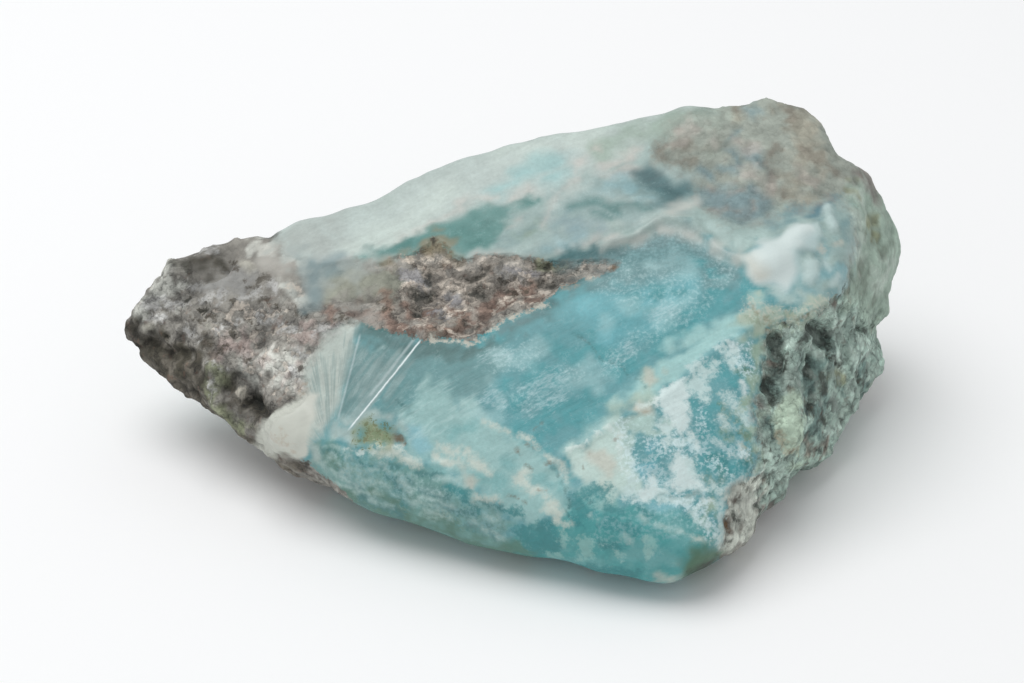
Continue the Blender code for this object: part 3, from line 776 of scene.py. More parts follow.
# Nose shade: the nose's dark brown lower side, partly painted shade below its lit top
matrix.wash((0.36, 0.34, 0.30), (  # nose shade
    ((118, 320), (134, 316), (140, 336), (165, 338), (196, 352), (208, 366), (210, 400), (240, 430),
     (262, 452), (240, 460), (200, 430), (160, 400), (120, 365)),
    (8, (240, 400), (262, 418)), (6, (262, 456), (300, 474)),
), edge=8, ragged=6, strength=0.85)
# Nose pale: light grey stone, with painted light on the nose's top rim
matrix.wash((0.73, 0.735, 0.705), (  # nose pale
    ((238, 362), (262, 354), (290, 350), (322, 340), (318, 372), (298, 393), (282, 386), (268, 378),
     (252, 372)),
    ((130, 308), (150, 290), (166, 270), (174, 262), (180, 270), (175, 284), (178, 298), (150, 304),
     (136, 316)),
    (6, (264, 249), (285, 253), (300, 262)), (6, (283, 285), (298, 292)), (4, (718, 545), (735, 536)),
    (4, (748, 500), (742, 522)), (6, (244, 368), (255, 379)),
), edge=6, ragged=7, strength=0.9, behind=scattered(5.0, 39, -0.2))
# Pale grains of the nose, and painted light on its lit rims and lump tops
matrix.mark("nose_pale_and_painted_light", (0.70, 0.70, 0.69), (
    (3, (184, 286), (208, 283)), (3, (150, 307), (188, 306)), (4, (146, 305), (160, 300)),
    (3, (146, 316), (160, 318)), (3, (215, 330), (238, 322)), (3, (262, 316), (285, 322)),
    (4, (282, 324), (296, 328)), (4, (290, 368), (302, 378)), (4, (296, 350), (306, 356)),
    (4, (322, 330), (334, 326)), (3, (200, 340), (185, 330)), (4, (240, 296), (262, 292)),
    (3, (206, 299), (222, 296)), (3, (176, 257), (200, 250), (214, 251)), (3, (270, 282), (276, 290)),
    (1.5, (213, 363), (224, 368)), (1.5, (146, 320), (154, 322)), (1.5, (212, 386), (216, 400)),
), edge=4, ragged=6, strength=0.8)
matrix.mark("nose_mauve", (0.53, 0.53, 0.52), (
    ((190, 284), (206, 278), (225, 268), (250, 268), (258, 280), (245, 292), (215, 296)),
    (5, (413, 280), (424, 281)), (6, (442, 298), (456, 300)), (5, (500, 276), (520, 281)),
), edge=6, ragged=5, strength=0.8)
matrix.wash((0.60, 0.53, 0.51), (  # nose pinks
    (5, (228, 342), (250, 348)), (6, (296, 376), (308, 386)), (4, (300, 335), (316, 332)),
    (3, (222, 352), (214, 356)), (4, (255, 366), (268, 372)),
), edge=6, ragged=9, strength=0.55)
# Nose dark: painted shade in the nose's crevices, under its top rim and beside its lumps
matrix.wash((0.20, 0.19, 0.15), (  # nose dark
    (6, (126, 322), (132, 336)), (7, (142, 346), (165, 352), (190, 358)), (6, (160, 366), (190, 380)),
    (5, (196, 392), (206, 400)), (4, (154, 330), (164, 336)), (4, (206, 344), (206, 358)),
    (4, (204, 352), (204, 388)), (3, (398, 331), (412, 333)), (3, (180, 270), (202, 268), (220, 262)),
    (5, (230, 388), (236, 378)), (6, (250, 398), (262, 408), (272, 414)), (4, (198, 360), (204, 372)),
    (4, (240, 408), (238, 418)),
), edge=6, ragged=5, strength=0.85, behind=scattered(2.6, 40, -0.36))
# Painted shade in the gaps and pits between the grains of the nose and the band
matrix.mark("nose_gap_shade", (0.26, 0.24, 0.20), (
    (1.5, (230, 300), (240, 308)), (3, (207, 309)), (2, (226, 322), (232, 330)),
    (1.5, (215, 350), (222, 342)), (1.5, (268, 302), (280, 308)), (1.5, (290, 320)),
    (2.5, (182, 300), (184, 306)), (2, (258, 282), (268, 278)), (1.5, (200, 318), (190, 322)),
    (1.5, (300, 372), (310, 366)), (1.5, (262, 356)), (1.5, (286, 350)), (2, (168, 340), (172, 346)),
    (1.5, (332, 319), (344, 315)), (2, (234, 262), (238, 270)), (1.5, (250, 320), (262, 330)),
    (1.5, (300, 308), (310, 312)), (2, (196, 340), (204, 336)), (2, (246, 286), (258, 288)),
    (2.5, (208, 318), (218, 319)), (1, (240, 356), (250, 362)), (1.5, (382, 306), (392, 312)),
    (1.5, (438, 312), (446, 318)), (1.5, (452, 308), (460, 304)), (1.5, (498, 290), (508, 294)),
    (1.5, (515, 296), (524, 290)), (2, (498, 280), (530, 281)), (1.5, (402, 262), (412, 266)),
), edge=3, ragged=7, strength=0.8)
matrix.wash((0.50, 0.48, 0.45), (  # band ground
    ((385, 268), (420, 262), (460, 262), (540, 258), (600, 262), (560, 288), (480, 330), (380, 328),
     (365, 305)),
), edge=7, ragged=7)
matrix.wash((0.54, 0.55, 0.50), (  # band olive
    ((318, 270), (350, 264), (390, 266), (402, 280), (385, 296), (350, 300), (325, 298)),
), edge=9, ragged=5, strength=0.9)
matrix.wash((0.40, 0.41, 0.37), (  # band shade
    (5, (390, 284), (392, 298)), (4, (398, 280), (424, 284)), (3, (446, 318), (458, 322)),
    (3, (432, 332), (450, 333)),
), edge=6, ragged=4, strength=0.7)
matrix.mark("band_lilac", (0.50, 0.495, 0.50), (
    (6, (404, 276), (422, 284)), (5, (432, 296), (458, 302)), (4, (506, 270), (536, 272)),
    (3, (430, 310), (445, 316)),
), edge=3, ragged=5, strength=0.85)
matrix.wash((0.46, 0.35, 0.30), (  # rust tint
    (3, (325, 311), (345, 308), (372, 314)), (6, (385, 316), (415, 328)), (5, (432, 326), (472, 328)),
    (8, (482, 312), (505, 300), (530, 290)), (4, (445, 310), (470, 312)), (3, (404, 300), (430, 316)),
    (3, (764, 328), (768, 334)), (5, (806, 442), (818, 448)), (4, (728, 512), (732, 526)),
    (2, (770, 366), (774, 374)), (3, (742, 484), (750, 490)), (3, (384, 296), (390, 306)),
), edge=5, ragged=7, strength=0.6, behind=scattered(3.6, 42, -0.3))
matrix.wash((0.51, 0.53, 0.43), (  # olive tint
    (7, (214, 370), (221, 379)), (5, (214, 388), (218, 408)), (4, (872, 215), (878, 236)),
    (4, (836, 376), (842, 382)), (4, (855, 188)), (5, (543, 263), (556, 268)),
    (5, (230, 418), (238, 430)),
), edge=5, ragged=4, strength=0.85, behind=scattered(3.2, 43, -0.32))
matrix.mark("band_cream", (0.75, 0.71, 0.66), (
    (3, (376, 263), (400, 261), (412, 260)), (3, (424, 260), (450, 264)), (3, (446, 262), (466, 267)),
    (3, (468, 266), (492, 260)), (3, (492, 260), (520, 258)), (3, (243, 391)), (3, (788, 452)),
    (1.5, (436, 292), (456, 289), (463, 282), (480, 278)), (1.5, (422, 318), (430, 330)),
    (1.5, (430, 290), (440, 306)), (2, (428, 296), (438, 298)), (1.5, (445, 312), (470, 306)),
    (2, (290, 285), (298, 292)), (2, (456, 331), (474, 330)), (2, (484, 265), (528, 263)),
    (3, (488, 266), (506, 263)), (1.5, (500, 300), (520, 304)), (1, (402, 286), (426, 286)),
    (2, (568, 289), (576, 288)),
), edge=3, ragged=5, strength=0.9)
matrix.mark("crumb_rims", (0.78, 0.74, 0.69), (
    ((406, 264), (460, 262), (560, 262), (612, 264), (560, 288), (490, 326), (440, 334), (404, 328)),
    ((240, 350), (300, 342), (316, 350), (300, 392), (270, 386)), (14, (230, 322), (280, 322)),
), edge=3, ragged=9, by="rims", strength=0.6, deepest=-1)
matrix.mark("pale_ribs", (0.64, 0.71, 0.64), (
    ((786, 396), (792, 388), (801, 400), (804, 420), (802, 440), (797, 456), (787, 456), (780, 438),
     (772, 415)),
    (2, (768, 400), (762, 416)), (2, (806, 460), (790, 470)),
), edge=4, ragged=3)
matrix.wash((0.71, 0.73, 0.69), (  # corner pale
    ((715, 492), (740, 480), (760, 470), (770, 486), (752, 500), (760, 520), (745, 545), (714, 552),
     (716, 530), (724, 505)),
), edge=7, ragged=3, strength=0.85)
# Painted shade in the gaps and pits of the wall and the lower right corner
matrix.mark("wall_gap_shade", (0.25, 0.27, 0.24), (
    (3, (808, 365), (812, 378)), (3, (822, 372), (826, 390)), (3, (806, 400), (812, 412)),
    (2, (836, 356), (842, 370)), (3, (820, 412), (826, 424)), (2, (858, 372), (862, 386)),
    (2, (790, 352), (788, 366)), (2.5, (728, 520), (731, 528)), (2, (740, 486), (748, 494)),
    (1.5, (720, 500), (726, 506)), (2, (736, 516), (742, 522)), (2, (758, 505), (763, 518)),
    (1.5, (752, 482), (758, 476)), (1.5, (736, 508), (742, 502)), (1, (726, 540), (734, 536)),
    (2, (765, 484), (772, 478)), (1.5, (752, 458), (764, 464)), (1.5, (762, 440), (770, 448)),
), edge=2.5, ragged=3, strength=0.85)

# What lies over both: the haze on the nose, stains, painted shade in the hollows, veins and lumps
over.wash((0.52, 0.60, 0.61), (  # nose veil
    ((296, 252), (320, 254), (343, 256), (350, 266), (340, 276), (325, 290), (318, 302), (304, 300),
     (300, 280)),
), edge=8, ragged=4, by="drift", strength=0.8)
over.wash((0.72, 0.71, 0.68), (  # nose cream
    (6, (270, 247), (282, 248)), (6, (268, 261), (284, 265)), (7, (350, 305), (362, 304)),
    (3, (370, 265), (394, 263)), (4, (474, 268), (500, 264), (526, 261)), (3, (358, 317), (370, 318)),
), edge=8, ragged=4, by="drift", strength=0.8)
over.wash((0.66, 0.69, 0.67), (  # veil wisps
    (4, (280, 232), (284, 268)), (3, (292, 240), (296, 276)), (3, (304, 256), (305, 280)),
    (3, (318, 262), (326, 284)), (5, (340, 262), (352, 280)), (4, (288, 284), (302, 292)),
    (4, (348, 264), (368, 262)),
), edge=8, ragged=7, strength=0.6, spots=straight)
over.wash((0.55, 0.51, 0.41), (  # olive halo
    ((416, 257), (426, 242), (437, 232), (450, 238), (460, 250), (464, 258)), (2, (380, 262), (412, 258)),
    (4, (395, 439), (401, 442)),
), edge=7, ragged=4, strength=0.75)
over.wash((0.29, 0.42, 0.32), (  # olive foot
    ((686, 558), (696, 548), (712, 546), (722, 552), (714, 568), (698, 582), (684, 578)),
), edge=9, ragged=3, strength=0.95, spots=straight)
over.wash((0.36, 0.42, 0.42), (  # tail slate
    (4, (562, 270), (584, 268), (600, 268)),
), edge=7, ragged=5, strength=0.6)
# Foot edge: painted shade along the stone's lower edge at the olive foot
over.wash((0.20, 0.19, 0.14), (  # foot edge
    (3, (690, 578), (718, 562)),
), edge=6, ragged=2, strength=0.8, spots=straight)
over.wash((0.36, 0.31, 0.28), (  # corner brown
    (3, (729, 504), (732, 521)),
), edge=5, ragged=7, strength=0.6)
# Painted shade in the matrix's hollows and pits, and under the olive foot's edge
over.mark("painted_hollow_shade", (0.17, 0.18, 0.16), (
    (4, (414, 292), (421, 291)), (2.5, (416, 304), (420, 310)), (4, (470, 290), (482, 292)),
    (2, (425, 272), (428, 281)), (2, (462, 280), (478, 276), (492, 268)), (2, (434, 244), (439, 249)),
    (3, (434, 242), (438, 245)), (2, (478, 325), (466, 320)), (2, (400, 300)),
    (2.5, (545, 264), (552, 266)), (2.5, (540, 284), (558, 282)), (6, (808, 338)),
    (6, (775, 339), (779, 352)), (3, (781, 356), (782, 366)), (7, (768, 384), (773, 402)),
    (3, (762, 404), (770, 402)), (8, (812, 330), (824, 339)), (3, (809, 359)),
    (3, (862, 329), (866, 331)), (3, (830, 402), (833, 411)), (2.5, (207, 309)), (2, (183, 302)),
    (2.5, (235, 379)), (3, (253, 398), (257, 406)), (2, (694, 573), (712, 562)),
    (2, (297, 461), (308, 464)), (2, (842, 308), (838, 318)), (2, (820, 452)), (2, (170, 339)),
    (2, (831, 353)),
), edge=4, ragged=4, strength=0.82)
over.mark("hollow_light", (0.55, 0.60, 0.57), (
    (1.5, (768, 337), (775, 341)), (1.5, (783, 345), (785, 352)), (1.5, (772, 352), (776, 356)),
    (1, (816, 336), (822, 340)), (1.5, (764, 400), (770, 396)), (1, (776, 366), (782, 372)),
    (1.5, (762, 404), (766, 416)), (1, (788, 330), (786, 345)), (1, (800, 344), (808, 350), (822, 351)),
    (1, (812, 372), (820, 384)), (1, (832, 366), (836, 382)), (1, (754, 402), (762, 424), (768, 440)),
    (1, (862, 350), (868, 366)), (2, (816, 392), (820, 404)), (2, (832, 398), (838, 412)),
    (1.5, (798, 372), (802, 396)), (1.5, (828, 330), (836, 340)),
), edge=3, ragged=3, strength=0.8)
over.mark("cream_lump", (0.79, 0.80, 0.76), (
    ((253, 434), (268, 415), (290, 402), (306, 394), (318, 392), (314, 420), (306, 440), (303, 456),
     (296, 460), (285, 454), (262, 454), (250, 446)),
), edge=4, ragged=1, by="fan")
over.mark("cream_spots", (0.76, 0.75, 0.70), (
    (5, (146, 327), (151, 326)), (3, (209, 328)), (5, (245, 265), (249, 268)), (2.5, (590, 277)),
    (2, (298, 385)), (3, (820, 247), (826, 252)), (2, (838, 243)), (2, (805, 173)), (3, (243, 391)),
), edge=4, ragged=2, strength=0.75)
over.mark("orange_stains", (0.68, 0.60, 0.50), (
    (1, (272, 438), (278, 444)), (0.5, (283, 432), (290, 450)), (2, (564, 289), (576, 288)),
    (2, (300, 392)), (0.5, (633, 412), (645, 416)), (2, (748, 306), (762, 312)),
    (1, (302, 388), (308, 384)), (3, (783, 436), (785, 444)), (3, (790, 452), (794, 450)),
    (2, (764, 318), (768, 328)),
), edge=4, ragged=5, strength=0.45)
over.wash((0.70, 0.76, 0.69), (  # beige rim
    ((738, 310), (748, 302), (762, 303), (775, 312), (790, 313), (805, 304), (822, 294), (828, 302),
     (818, 313), (800, 320), (785, 322), (770, 328), (757, 328), (745, 318)),
), edge=7, ragged=5, strength=0.85)
over.mark("rim_flecks", (0.82, 0.81, 0.75), (
    (4, (748, 308), (765, 313), (790, 317), (822, 301)),
), edge=5, ragged=7, by="fleck", strength=0.5, deepest=-1)
over.mark("rim_shade", (0.47, 0.52, 0.40), (
    (5, (752, 316), (770, 318), (800, 320)), (4, (742, 436), (756, 452)),
), edge=4, ragged=9, by="torn", strength=0.4, deepest=-2)
over.wash((0.78, 0.79, 0.76), (  # cream vein
    (3, (604, 246), (636, 240), (650, 234)),
    (5, (661, 230), (676, 230), (690, 235), (712, 246), (740, 261)), (5, (672, 211), (694, 203)),
), edge=7, ragged=2, strength=0.75, spots=straight)
over.mark("lip_light", (0.78, 0.78, 0.73), (
    (1.5, (432, 340), (465, 341)),
    (1.3, (465, 341), (482, 339), (493, 331), (504, 322), (518, 313), (546, 302)),
), edge=2.5, ragged=4, strength=0.85)
over.wash((0.82, 0.87, 0.86), (  # white lump
    ((744, 262), (750, 251), (765, 244), (780, 235), (795, 224), (806, 221), (815, 227), (817, 236),
     (811, 245), (800, 252), (798, 266), (794, 278), (786, 286), (772, 288), (758, 285), (748, 276)),
), edge=6, ragged=2, by="drift")
over.wash((0.83, 0.82, 0.77), (  # lump cream
    (7, (750, 262), (764, 274)),
), edge=10, ragged=3, by="drift", strength=0.8)
over.wash((0.68, 0.79, 0.79), (  # lump shade
    (4, (796, 254), (800, 276)), (2, (804, 245), (814, 240)),
), edge=7, ragged=3, by="drift", strength=0.6)
over.mark("second_lump", (0.75, 0.83, 0.82), (
    ((803, 262), (809, 257), (817, 260), (820, 269), (817, 280), (810, 285), (804, 279)),
    (3.5, (827, 208), (833, 227)), (2, (816, 226), (819, 236)), (1.5, (824, 262), (830, 270)),
    (2, (832, 284), (838, 276)),
), edge=5, ragged=2, by="drift", strength=0.85, spots=straight)
over.wash((0.50, 0.55, 0.40), (  # green olive patch
    ((356, 441), (361, 430), (371, 424), (383, 426), (390, 434), (386, 446), (368, 448)),
), edge=7, ragged=4, strength=0.9, spots=straight)
over.mark("patch_light", (0.74, 0.77, 0.66), (
    (1, (366, 440), (372, 430)), (1, (378, 444), (382, 436)), (1, (370, 424), (378, 428)),
    (1, (374, 434), (376, 442)),
), edge=3, ragged=7, by="fleck", strength=0.7)
over.mark("patch_dark", (0.36, 0.40, 0.25), (
    (5, (364, 438), (372, 426), (384, 434)),
), edge=4, ragged=9, by="fleck", strength=0.8, deepest=-1)
over.mark("rust_spots", (0.38, 0.27, 0.13), (
    (3, (396, 442), (399, 438)), (1, (404, 444)), (1, (526, 446), (533, 448)),
    (0.6, (516, 450), (520, 454)), (1.5, (525, 466), (529, 469)), (0.8, (544, 465), (548, 461)),
    (0.4, (535, 432), (540, 428)), (0.4, (510, 496), (525, 500)), (0.6, (588, 449), (589, 452)),
    (0.6, (584, 466)), (0.6, (608, 267), (614, 265)), (0.6, (617, 440)), (0.4, (538, 494), (543, 495)),
    (2, (727, 521), (731, 526)),
), edge=3, ragged=2, strength=0.85)

for name, coat in (("blue", blue), ("matrix", matrix), ("over", over)):
    ground = mesh.attributes.new(name + "_wash", "FLOAT_COLOR", "POINT")
    ground.data.foreach_set("color", np.append(coat.light, np.ones((len(points), 1)), axis=1).ravel())
keep("over_cover", over.cover)


class Signal:
    """One socket of a material, so that its maths is written as sums of signals and numbers."""

    def __init__(self, tree, socket):
        self.tree = tree
        self.socket = socket

    def node(self, kind, settings=None, inputs=None, output=0):
        """Adds a node of any type: its settings first, then the values or links of its sockets."""
        made = self.tree.nodes.new(kind)
        for name, value in (settings or {}).items():
            setattr(made, name, value)
        for name, value in (inputs or {}).items():
            if isinstance(value, Signal):
                self.tree.links.new(value.socket, made.inputs[name])
            else:
                made.inputs[name].default_value = value
        return Signal(self.tree, made.outputs[output])

    def sibling(self, output):
        """Another output of the node that this signal comes from."""
        return Signal(self.tree, self.socket.node.outputs[output])

    def maths(self, operation, *values):
        """A sum of values or signals, by the name of its operation."""
        return self.node("ShaderNodeMath", {"operation": operation}, dict(enumerate(values)))

    def __add__(self, other):
        return self.maths("ADD", self, other)

    __radd__ = __add__

    def __sub__(self, other):
        return self.maths("SUBTRACT", self, other)

    def __rsub__(self, other):
        return self.maths("SUBTRACT", other, self)

    def __mul__(self, other):
        return self.maths("MULTIPLY", self, other)

    __rmul__ = __mul__

    def eased(self, low, high, to_low=0.0, to_high=1.0):
        """One value below low, another above high, and a smooth change between."""
        return self.node("ShaderNodeMapRange", {"interpolation_type": "SMOOTHSTEP"},
                         {0: self, 1: low, 2: high, 3: to_low, 4: to_high})

    def tinted(self, other, share, blend="MIX"):
        """This colour with another laid over it, by that share."""
        return self.node("ShaderNodeMix", {"data_type": "RGBA", "blend_type": blend},
                         {0: share, 6: self, 7: other}, output=2)

    def along(self, direction, lengths):
        """These coordinates turned to run along a direction, and drawn out by a length on each axis."""
        turn = Vector(direction).to_track_quat("X", "Z").to_euler()
        return self.node("ShaderNodeMapping", {"vector_type": "TEXTURE"},
                         {"Vector": self, "Rotation": turn, "Scale": lengths})


finish = bpy.data.materials.new("larimar in its matrix")
finish.use_nodes = True
tree = finish.node_tree
shader = tree.nodes["Principled BSDF"]
maker = Signal(tree, None)
place = maker.node("ShaderNodeTexCoord", output="Object")
place = maker.node("ShaderNodeVectorMath", {"operation": "SCALE"}, {0: place, "Scale": 1 / MM})


def moved(coordinates, shift):
    """Coordinates a little further on, so that two noises of one size don't match."""
    return maker.node("ShaderNodeVectorMath", {"operation": "ADD"}, {0: coordinates, 1: shift})


def cloud(size, detail, roughness, shift=0.0, coordinates=place):
    """Noise about that many millimetres across, from 0 to 1."""
    return maker.node("ShaderNodeTexNoise", {}, {
        "Vector": moved(coordinates, (shift, shift, shift)), "Scale": 1 / size, "Detail": detail,
        "Roughness": roughness})


def stored(name, output="Fac"):
    """What the mesh keeps under a name."""
    return maker.node("ShaderNodeAttribute", {"attribute_name": name}, output=output)


SURELY_SEEN = 0.9


def spot_at(pixel):
    """The vertex that the photograph shows at a pixel."""
    seen = np.where(facing > SURELY_SEEN, np.linalg.norm(straight - pixel, axis=1), np.inf)
    return points[np.argmin(seen)]


left_fibres = place.along(spot_at((421, 340)) - spot_at((348, 431)), (14, 1, 1))
face_run = spot_at((780, 290)) - spot_at((560, 400))
face_fibres = place.along(face_run, (9, 1, 1))
fan = maker.node("ShaderNodeCombineXYZ", {}, {0: stored("fan_turn"), 1: stored("fan_reach")})

# The grains that mottle the stone and break the edges of its marks, most of them about 0 on average. The net
# is high along thin winding threads, where its noise crosses 0.
THREAD_LEVEL = 0.30
THREAD_STEEPNESS = 8
fold = cloud(0.5, 3, 0.62, 13.0) - 0.5
grains = {
    "cloud": cloud(3.0, 4, 0.6) - 0.5,
    "drift": cloud(1.2, 3, 0.66, 7.0) - 0.5,
    "torn": cloud(0.6, 3, 0.7, 3.0) - 0.5,
    "fleck": cloud(0.28, 2, 0.6, 17.0) - 0.5,
    "net": THREAD_LEVEL - fold.maths("ABSOLUTE", fold) * THREAD_STEEPNESS,
    "fan": cloud(1.0, 3, 0.6, 0.0, fan) - 0.5,
    "left_fibre": cloud(0.5, 3, 0.6, 0.0, left_fibres) - 0.5,
    "face_fibre": cloud(0.4, 3, 0.6, 5.0, face_fibres) - 0.5,
    "scratch": cloud(0.22, 3, 0.65, 23.0, place.along(face_run, (2.6, 1, 1))) - 0.5,
}


def opaque(colour):
    """A display colour as a socket of the material takes it."""
    return linear(colour) + (1.0,)


# The grains mostly stay within a fifth of 0, so this many of one reach as far as a mark is ragged
GRAIN_REACH = 5


def marked(colour, coat):
    """The colour with each mark of a coat laid over it in turn."""
    for name, shade, edge, ragged, by, strength in coat.marks:
        depth = grains[by].maths("MULTIPLY_ADD", grains[by], GRAIN_REACH * ragged, stored(name))
        colour = colour.tinted(opaque(shade), depth.eased(-edge, edge, 0.0, strength))
    return colour


# The blue stone, mottled, finely streaked and crossed by milky threads, with the painted highlight and sheen
# along the fan's crease
HIGHLIGHT_AND_HAIR_COLOUR = (0.93, 0.97, 0.97)
HIGHLIGHT_AND_HAIR_WANDER = 1.2
HIGHLIGHT_AND_HAIR_START = (-0.02, 0.04)
HIGHLIGHT_AND_HAIR_END = (0.92, 1.02)
THREAD_COLOUR = (0.78, 0.86, 0.86)
THREAD_STRENGTH = 0.12
THREAD_EDGE = (-0.05, 0.35)
THREAD_PLACES = (0.00, 0.12)
MOTTLE = (("cloud", 0.26), ("drift", 0.30), ("face_fibre", 0.22), ("fleck", 0.26))
blue_colour = marked(stored("blue_wash", "Color"), blue)
# The painted highlight and sheen along the fan's crease, and its pale hair line
for number, (head, foot, half_width, strength) in enumerate(HIGHLIGHT_AND_HAIR_LINES):
    side = stored(f"highlight_and_hair_side_{number}") + grains["torn"] * HIGHLIGHT_AND_HAIR_WANDER
    along = stored(f"highlight_and_hair_along_{number}")
    line = side.maths("ABSOLUTE", side).eased(0, half_width, strength, 0)
    line = line * along.eased(*HIGHLIGHT_AND_HAIR_START) * along.eased(*HIGHLIGHT_AND_HAIR_END, 1, 0)
    blue_colour = blue_colour.tinted(opaque(HIGHLIGHT_AND_HAIR_COLOUR), line)
threads = grains["net"].eased(*THREAD_EDGE) * grains["drift"].eased(*THREAD_PLACES)
blue_colour = blue_colour.tinted(opaque(THREAD_COLOUR), threads * THREAD_STRENGTH)
mottle = 1.0
for by, share in MOTTLE:
    mottle = mottle + grains[by] * share
blue_colour = blue_colour.tinted(mottle, 1.0, "MULTIPLY")

# The matrix is packed crumbs of two sizes, each a tone of its own, painted lighter in their middles and with
# painted shade in the seams between them, and some rust. Noise bends their cells, so that no side of a crumb
# is straight.
COARSE_CRUMB = 0.85
SMALL_CRUMB = 0.42
BEND = 0.7
BEND_SCALE = 2.2
RIM_START = 0.66
MATRIX_GAIN = 1.22
KEPT_WHERE_CALM = 0.3
COARSE_CONTRAST = 0.50
SMALL_CONTRAST = 0.54
FLECK_CONTRAST = 0.60
RUST = (0.50, 0.38, 0.32)

# From where to where along a crumb, a noise or a height, and what is given at each end
COARSE_SEAM_SHADE = (0.40, 0.75, 0.08, -0.30)
SMALL_SEAM_SHADE = (0.45, 0.75, 0.04, -0.22)
RUST_PLACES = (0.58, 0.70, 0.0, 0.30)
HOLLOW_SHADE_TO_TOP_LIGHT = (-0.40, 0.20, 0.62, 1.22)
bends = maker.node("ShaderNodeTexNoise", {}, {"Vector": place, "Scale": BEND_SCALE, "Detail": 2.0}, output=1)
bends = maker.node("ShaderNodeVectorMath", {"operation": "SCALE"}, {0: bends, "Scale": BEND})
bent = maker.node("ShaderNodeVectorMath", {"operation": "ADD"}, {0: place, 1: bends})


def crumb_field(size, shift):
    """Crumbs about that many millimetres across: each one's own random shade, and how far from its middle."""
    cells = maker.node("ShaderNodeTexVoronoi", {}, {
        "Vector": moved(bent, (shift, shift, shift)), "Scale": 1 / size}, output="Color")
    shade = maker.node("ShaderNodeSeparateColor", {}, {0: cells}, output=0)
    return shade, cells.sibling("Distance")


coarse_shade, coarse_edge = crumb_field(COARSE_CRUMB, 2.0)
small_shade, small_edge = crumb_field(SMALL_CRUMB, 9.0)
grains["rims"] = coarse_edge - RIM_START
matrix_colour = marked(stored("matrix_wash", "Color"), matrix)
sharp = 1 - stored("calm") * (1 - KEPT_WHERE_CALM)
shades = (coarse_shade - 0.5) * COARSE_CONTRAST + (small_shade - 0.5) * SMALL_CONTRAST
shades = shades + grains["fleck"] * FLECK_CONTRAST
seam_shade = coarse_edge.eased(*COARSE_SEAM_SHADE) + small_edge.eased(*SMALL_SEAM_SHADE)
matrix_colour = matrix_colour.tinted(MATRIX_GAIN + (shades + seam_shade) * sharp, 1.0, "MULTIPLY")
rusty = cloud(0.9, 3, 0.6, 41.0)
matrix_colour = matrix_colour.tinted(opaque(RUST), rusty.eased(*RUST_PLACES) * sharp)

# Painted shade in its hollows and painted light on its tops, by the height of its relief
height = stored("height")
matrix_colour = matrix_colour.tinted(height.eased(*HOLLOW_SHADE_TO_TOP_LIGHT), 1.0, "MULTIPLY")

# Blue stone and matrix meet in a torn edge, and what lies over both comes last: its washes are light that is
# added where their cover has taken the light below away
SHARPEST_EDGE = 1.5
ROCK_WANDER = 20
BLUE_ROUGHNESS = 0.46
SILK_GRAIN = 0.2
ROCK_ROUGHNESS = 0.85
blend = stored("soft") + SHARPEST_EDGE
rock_share = (stored("rock") + grains["torn"] * ROCK_WANDER).eased(0 - blend, blend)
colour = blue_colour.tinted(matrix_colour, rock_share).tinted((0, 0, 0, 1), stored("over_cover"))
colour = marked(colour.tinted(stored("over_wash", "Color"), 1.0, "ADD"), over)
tree.links.new(colour.socket, shader.inputs["Base Color"])
silk = BLUE_ROUGHNESS + grains["face_fibre"] * SILK_GRAIN
roughness = silk * (1 - rock_share) + rock_share * ROCK_ROUGHNESS
tree.links.new(roughness.socket, shader.inputs["Roughness"])

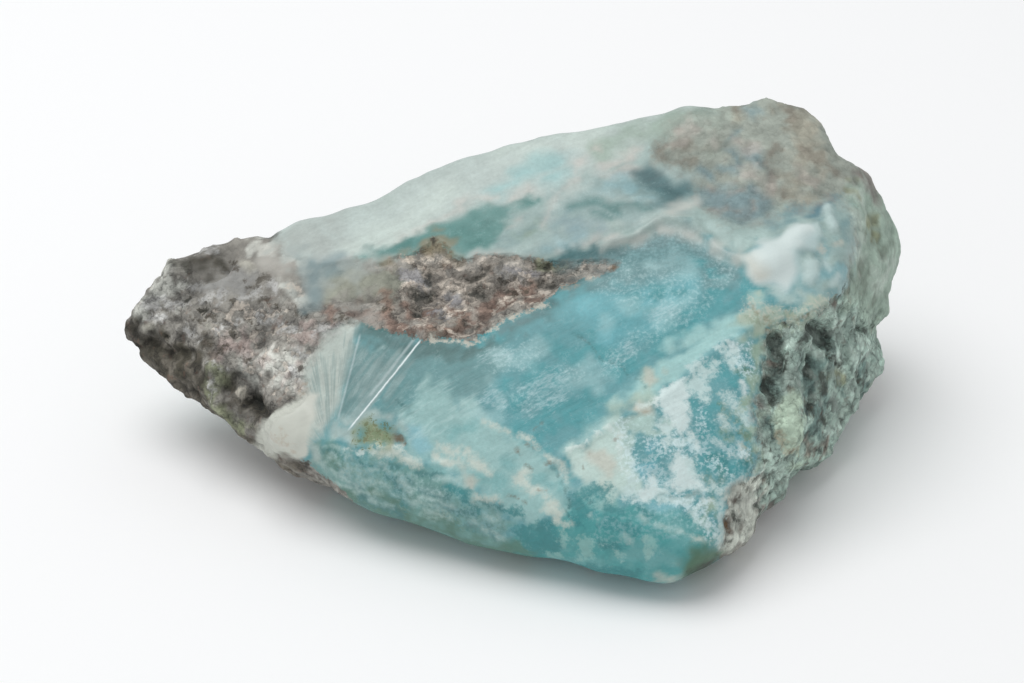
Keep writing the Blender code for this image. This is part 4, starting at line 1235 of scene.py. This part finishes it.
# The finest relief, in millimetres: faint scratches on the blue, crumbs and dust on the matrix
SCRATCH_HEIGHT = 0.03
POLISH_HEIGHT = 0.02
DUST_HEIGHT = 0.10
LUMP_HEIGHT = 0.2
SMALL_CRUMB_HEIGHT = 0.09
COARSE_CRUMB_HEIGHT = 0.16
CRUST_EDGE = 3
crusted = stored("rock").eased(-CRUST_EDGE, CRUST_EDGE)
scratches = grains["face_fibre"] * SCRATCH_HEIGHT + grains["fleck"] * POLISH_HEIGHT
crust = grains["fleck"] * DUST_HEIGHT + grains["drift"] * LUMP_HEIGHT
crust = (crust - small_edge * SMALL_CRUMB_HEIGHT - coarse_edge * COARSE_CRUMB_HEIGHT) * sharp
surface = scratches * (1 - crusted) + crust * crusted
bumped = maker.node("ShaderNodeBump", {}, {"Strength": 1.0, "Distance": MM, "Height": surface})
tree.links.new(bumped.socket, shader.inputs["Normal"])

mesh.materials.clear()
mesh.materials.append(finish)
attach(stone, "root")
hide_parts("larimar_stone")


# Floor
# A plain pale sheet that the stone rests on.
FLOOR_SIDE = 4.0
PAPER_WHITE = (0.96, 0.96, 0.96, 1)
PAPER_ROUGHNESS = 0.9
bpy.ops.object.select_all(action="DESELECT")
bpy.ops.mesh.primitive_plane_add(size=FLOOR_SIDE, location=(0, 0, 0))
floor = bpy.context.object
floor.name = "floor"
paper = bpy.data.materials.new("pale paper")
paper.use_nodes = True
paper_shader = paper.node_tree.nodes["Principled BSDF"]
paper_shader.inputs["Base Color"].default_value = PAPER_WHITE
paper_shader.inputs["Roughness"].default_value = PAPER_ROUGHNESS
floor.data.materials.append(paper)


# Light
# One broad soft lamp above the stone's left, and an even white room.
KEY_PLACE = Vector((-0.12, 0.03, 0.42))
KEY_AIM = Vector((0, 0, 0.01))
KEY_POWER = 1.05
KEY_WIDTH = 0.4
ROOM_WHITE = (0.97, 0.985, 1.0, 1)
ROOM_STRENGTH = 0.58
bpy.ops.object.light_add(type="AREA", location=KEY_PLACE)
key = bpy.context.object
key.rotation_euler = (KEY_AIM - KEY_PLACE).to_track_quat("-Z", "Y").to_euler()
key.data.energy = KEY_POWER
key.data.shape = "DISK"
key.data.size = KEY_WIDTH
room = bpy.data.worlds.new("white room")
room.use_nodes = True
backdrop = room.node_tree.nodes["Background"]
backdrop.inputs["Color"].default_value = ROOM_WHITE
backdrop.inputs["Strength"].default_value = ROOM_STRENGTH
bpy.context.scene.world = room
bpy.context.scene.view_settings.view_transform = "Standard"
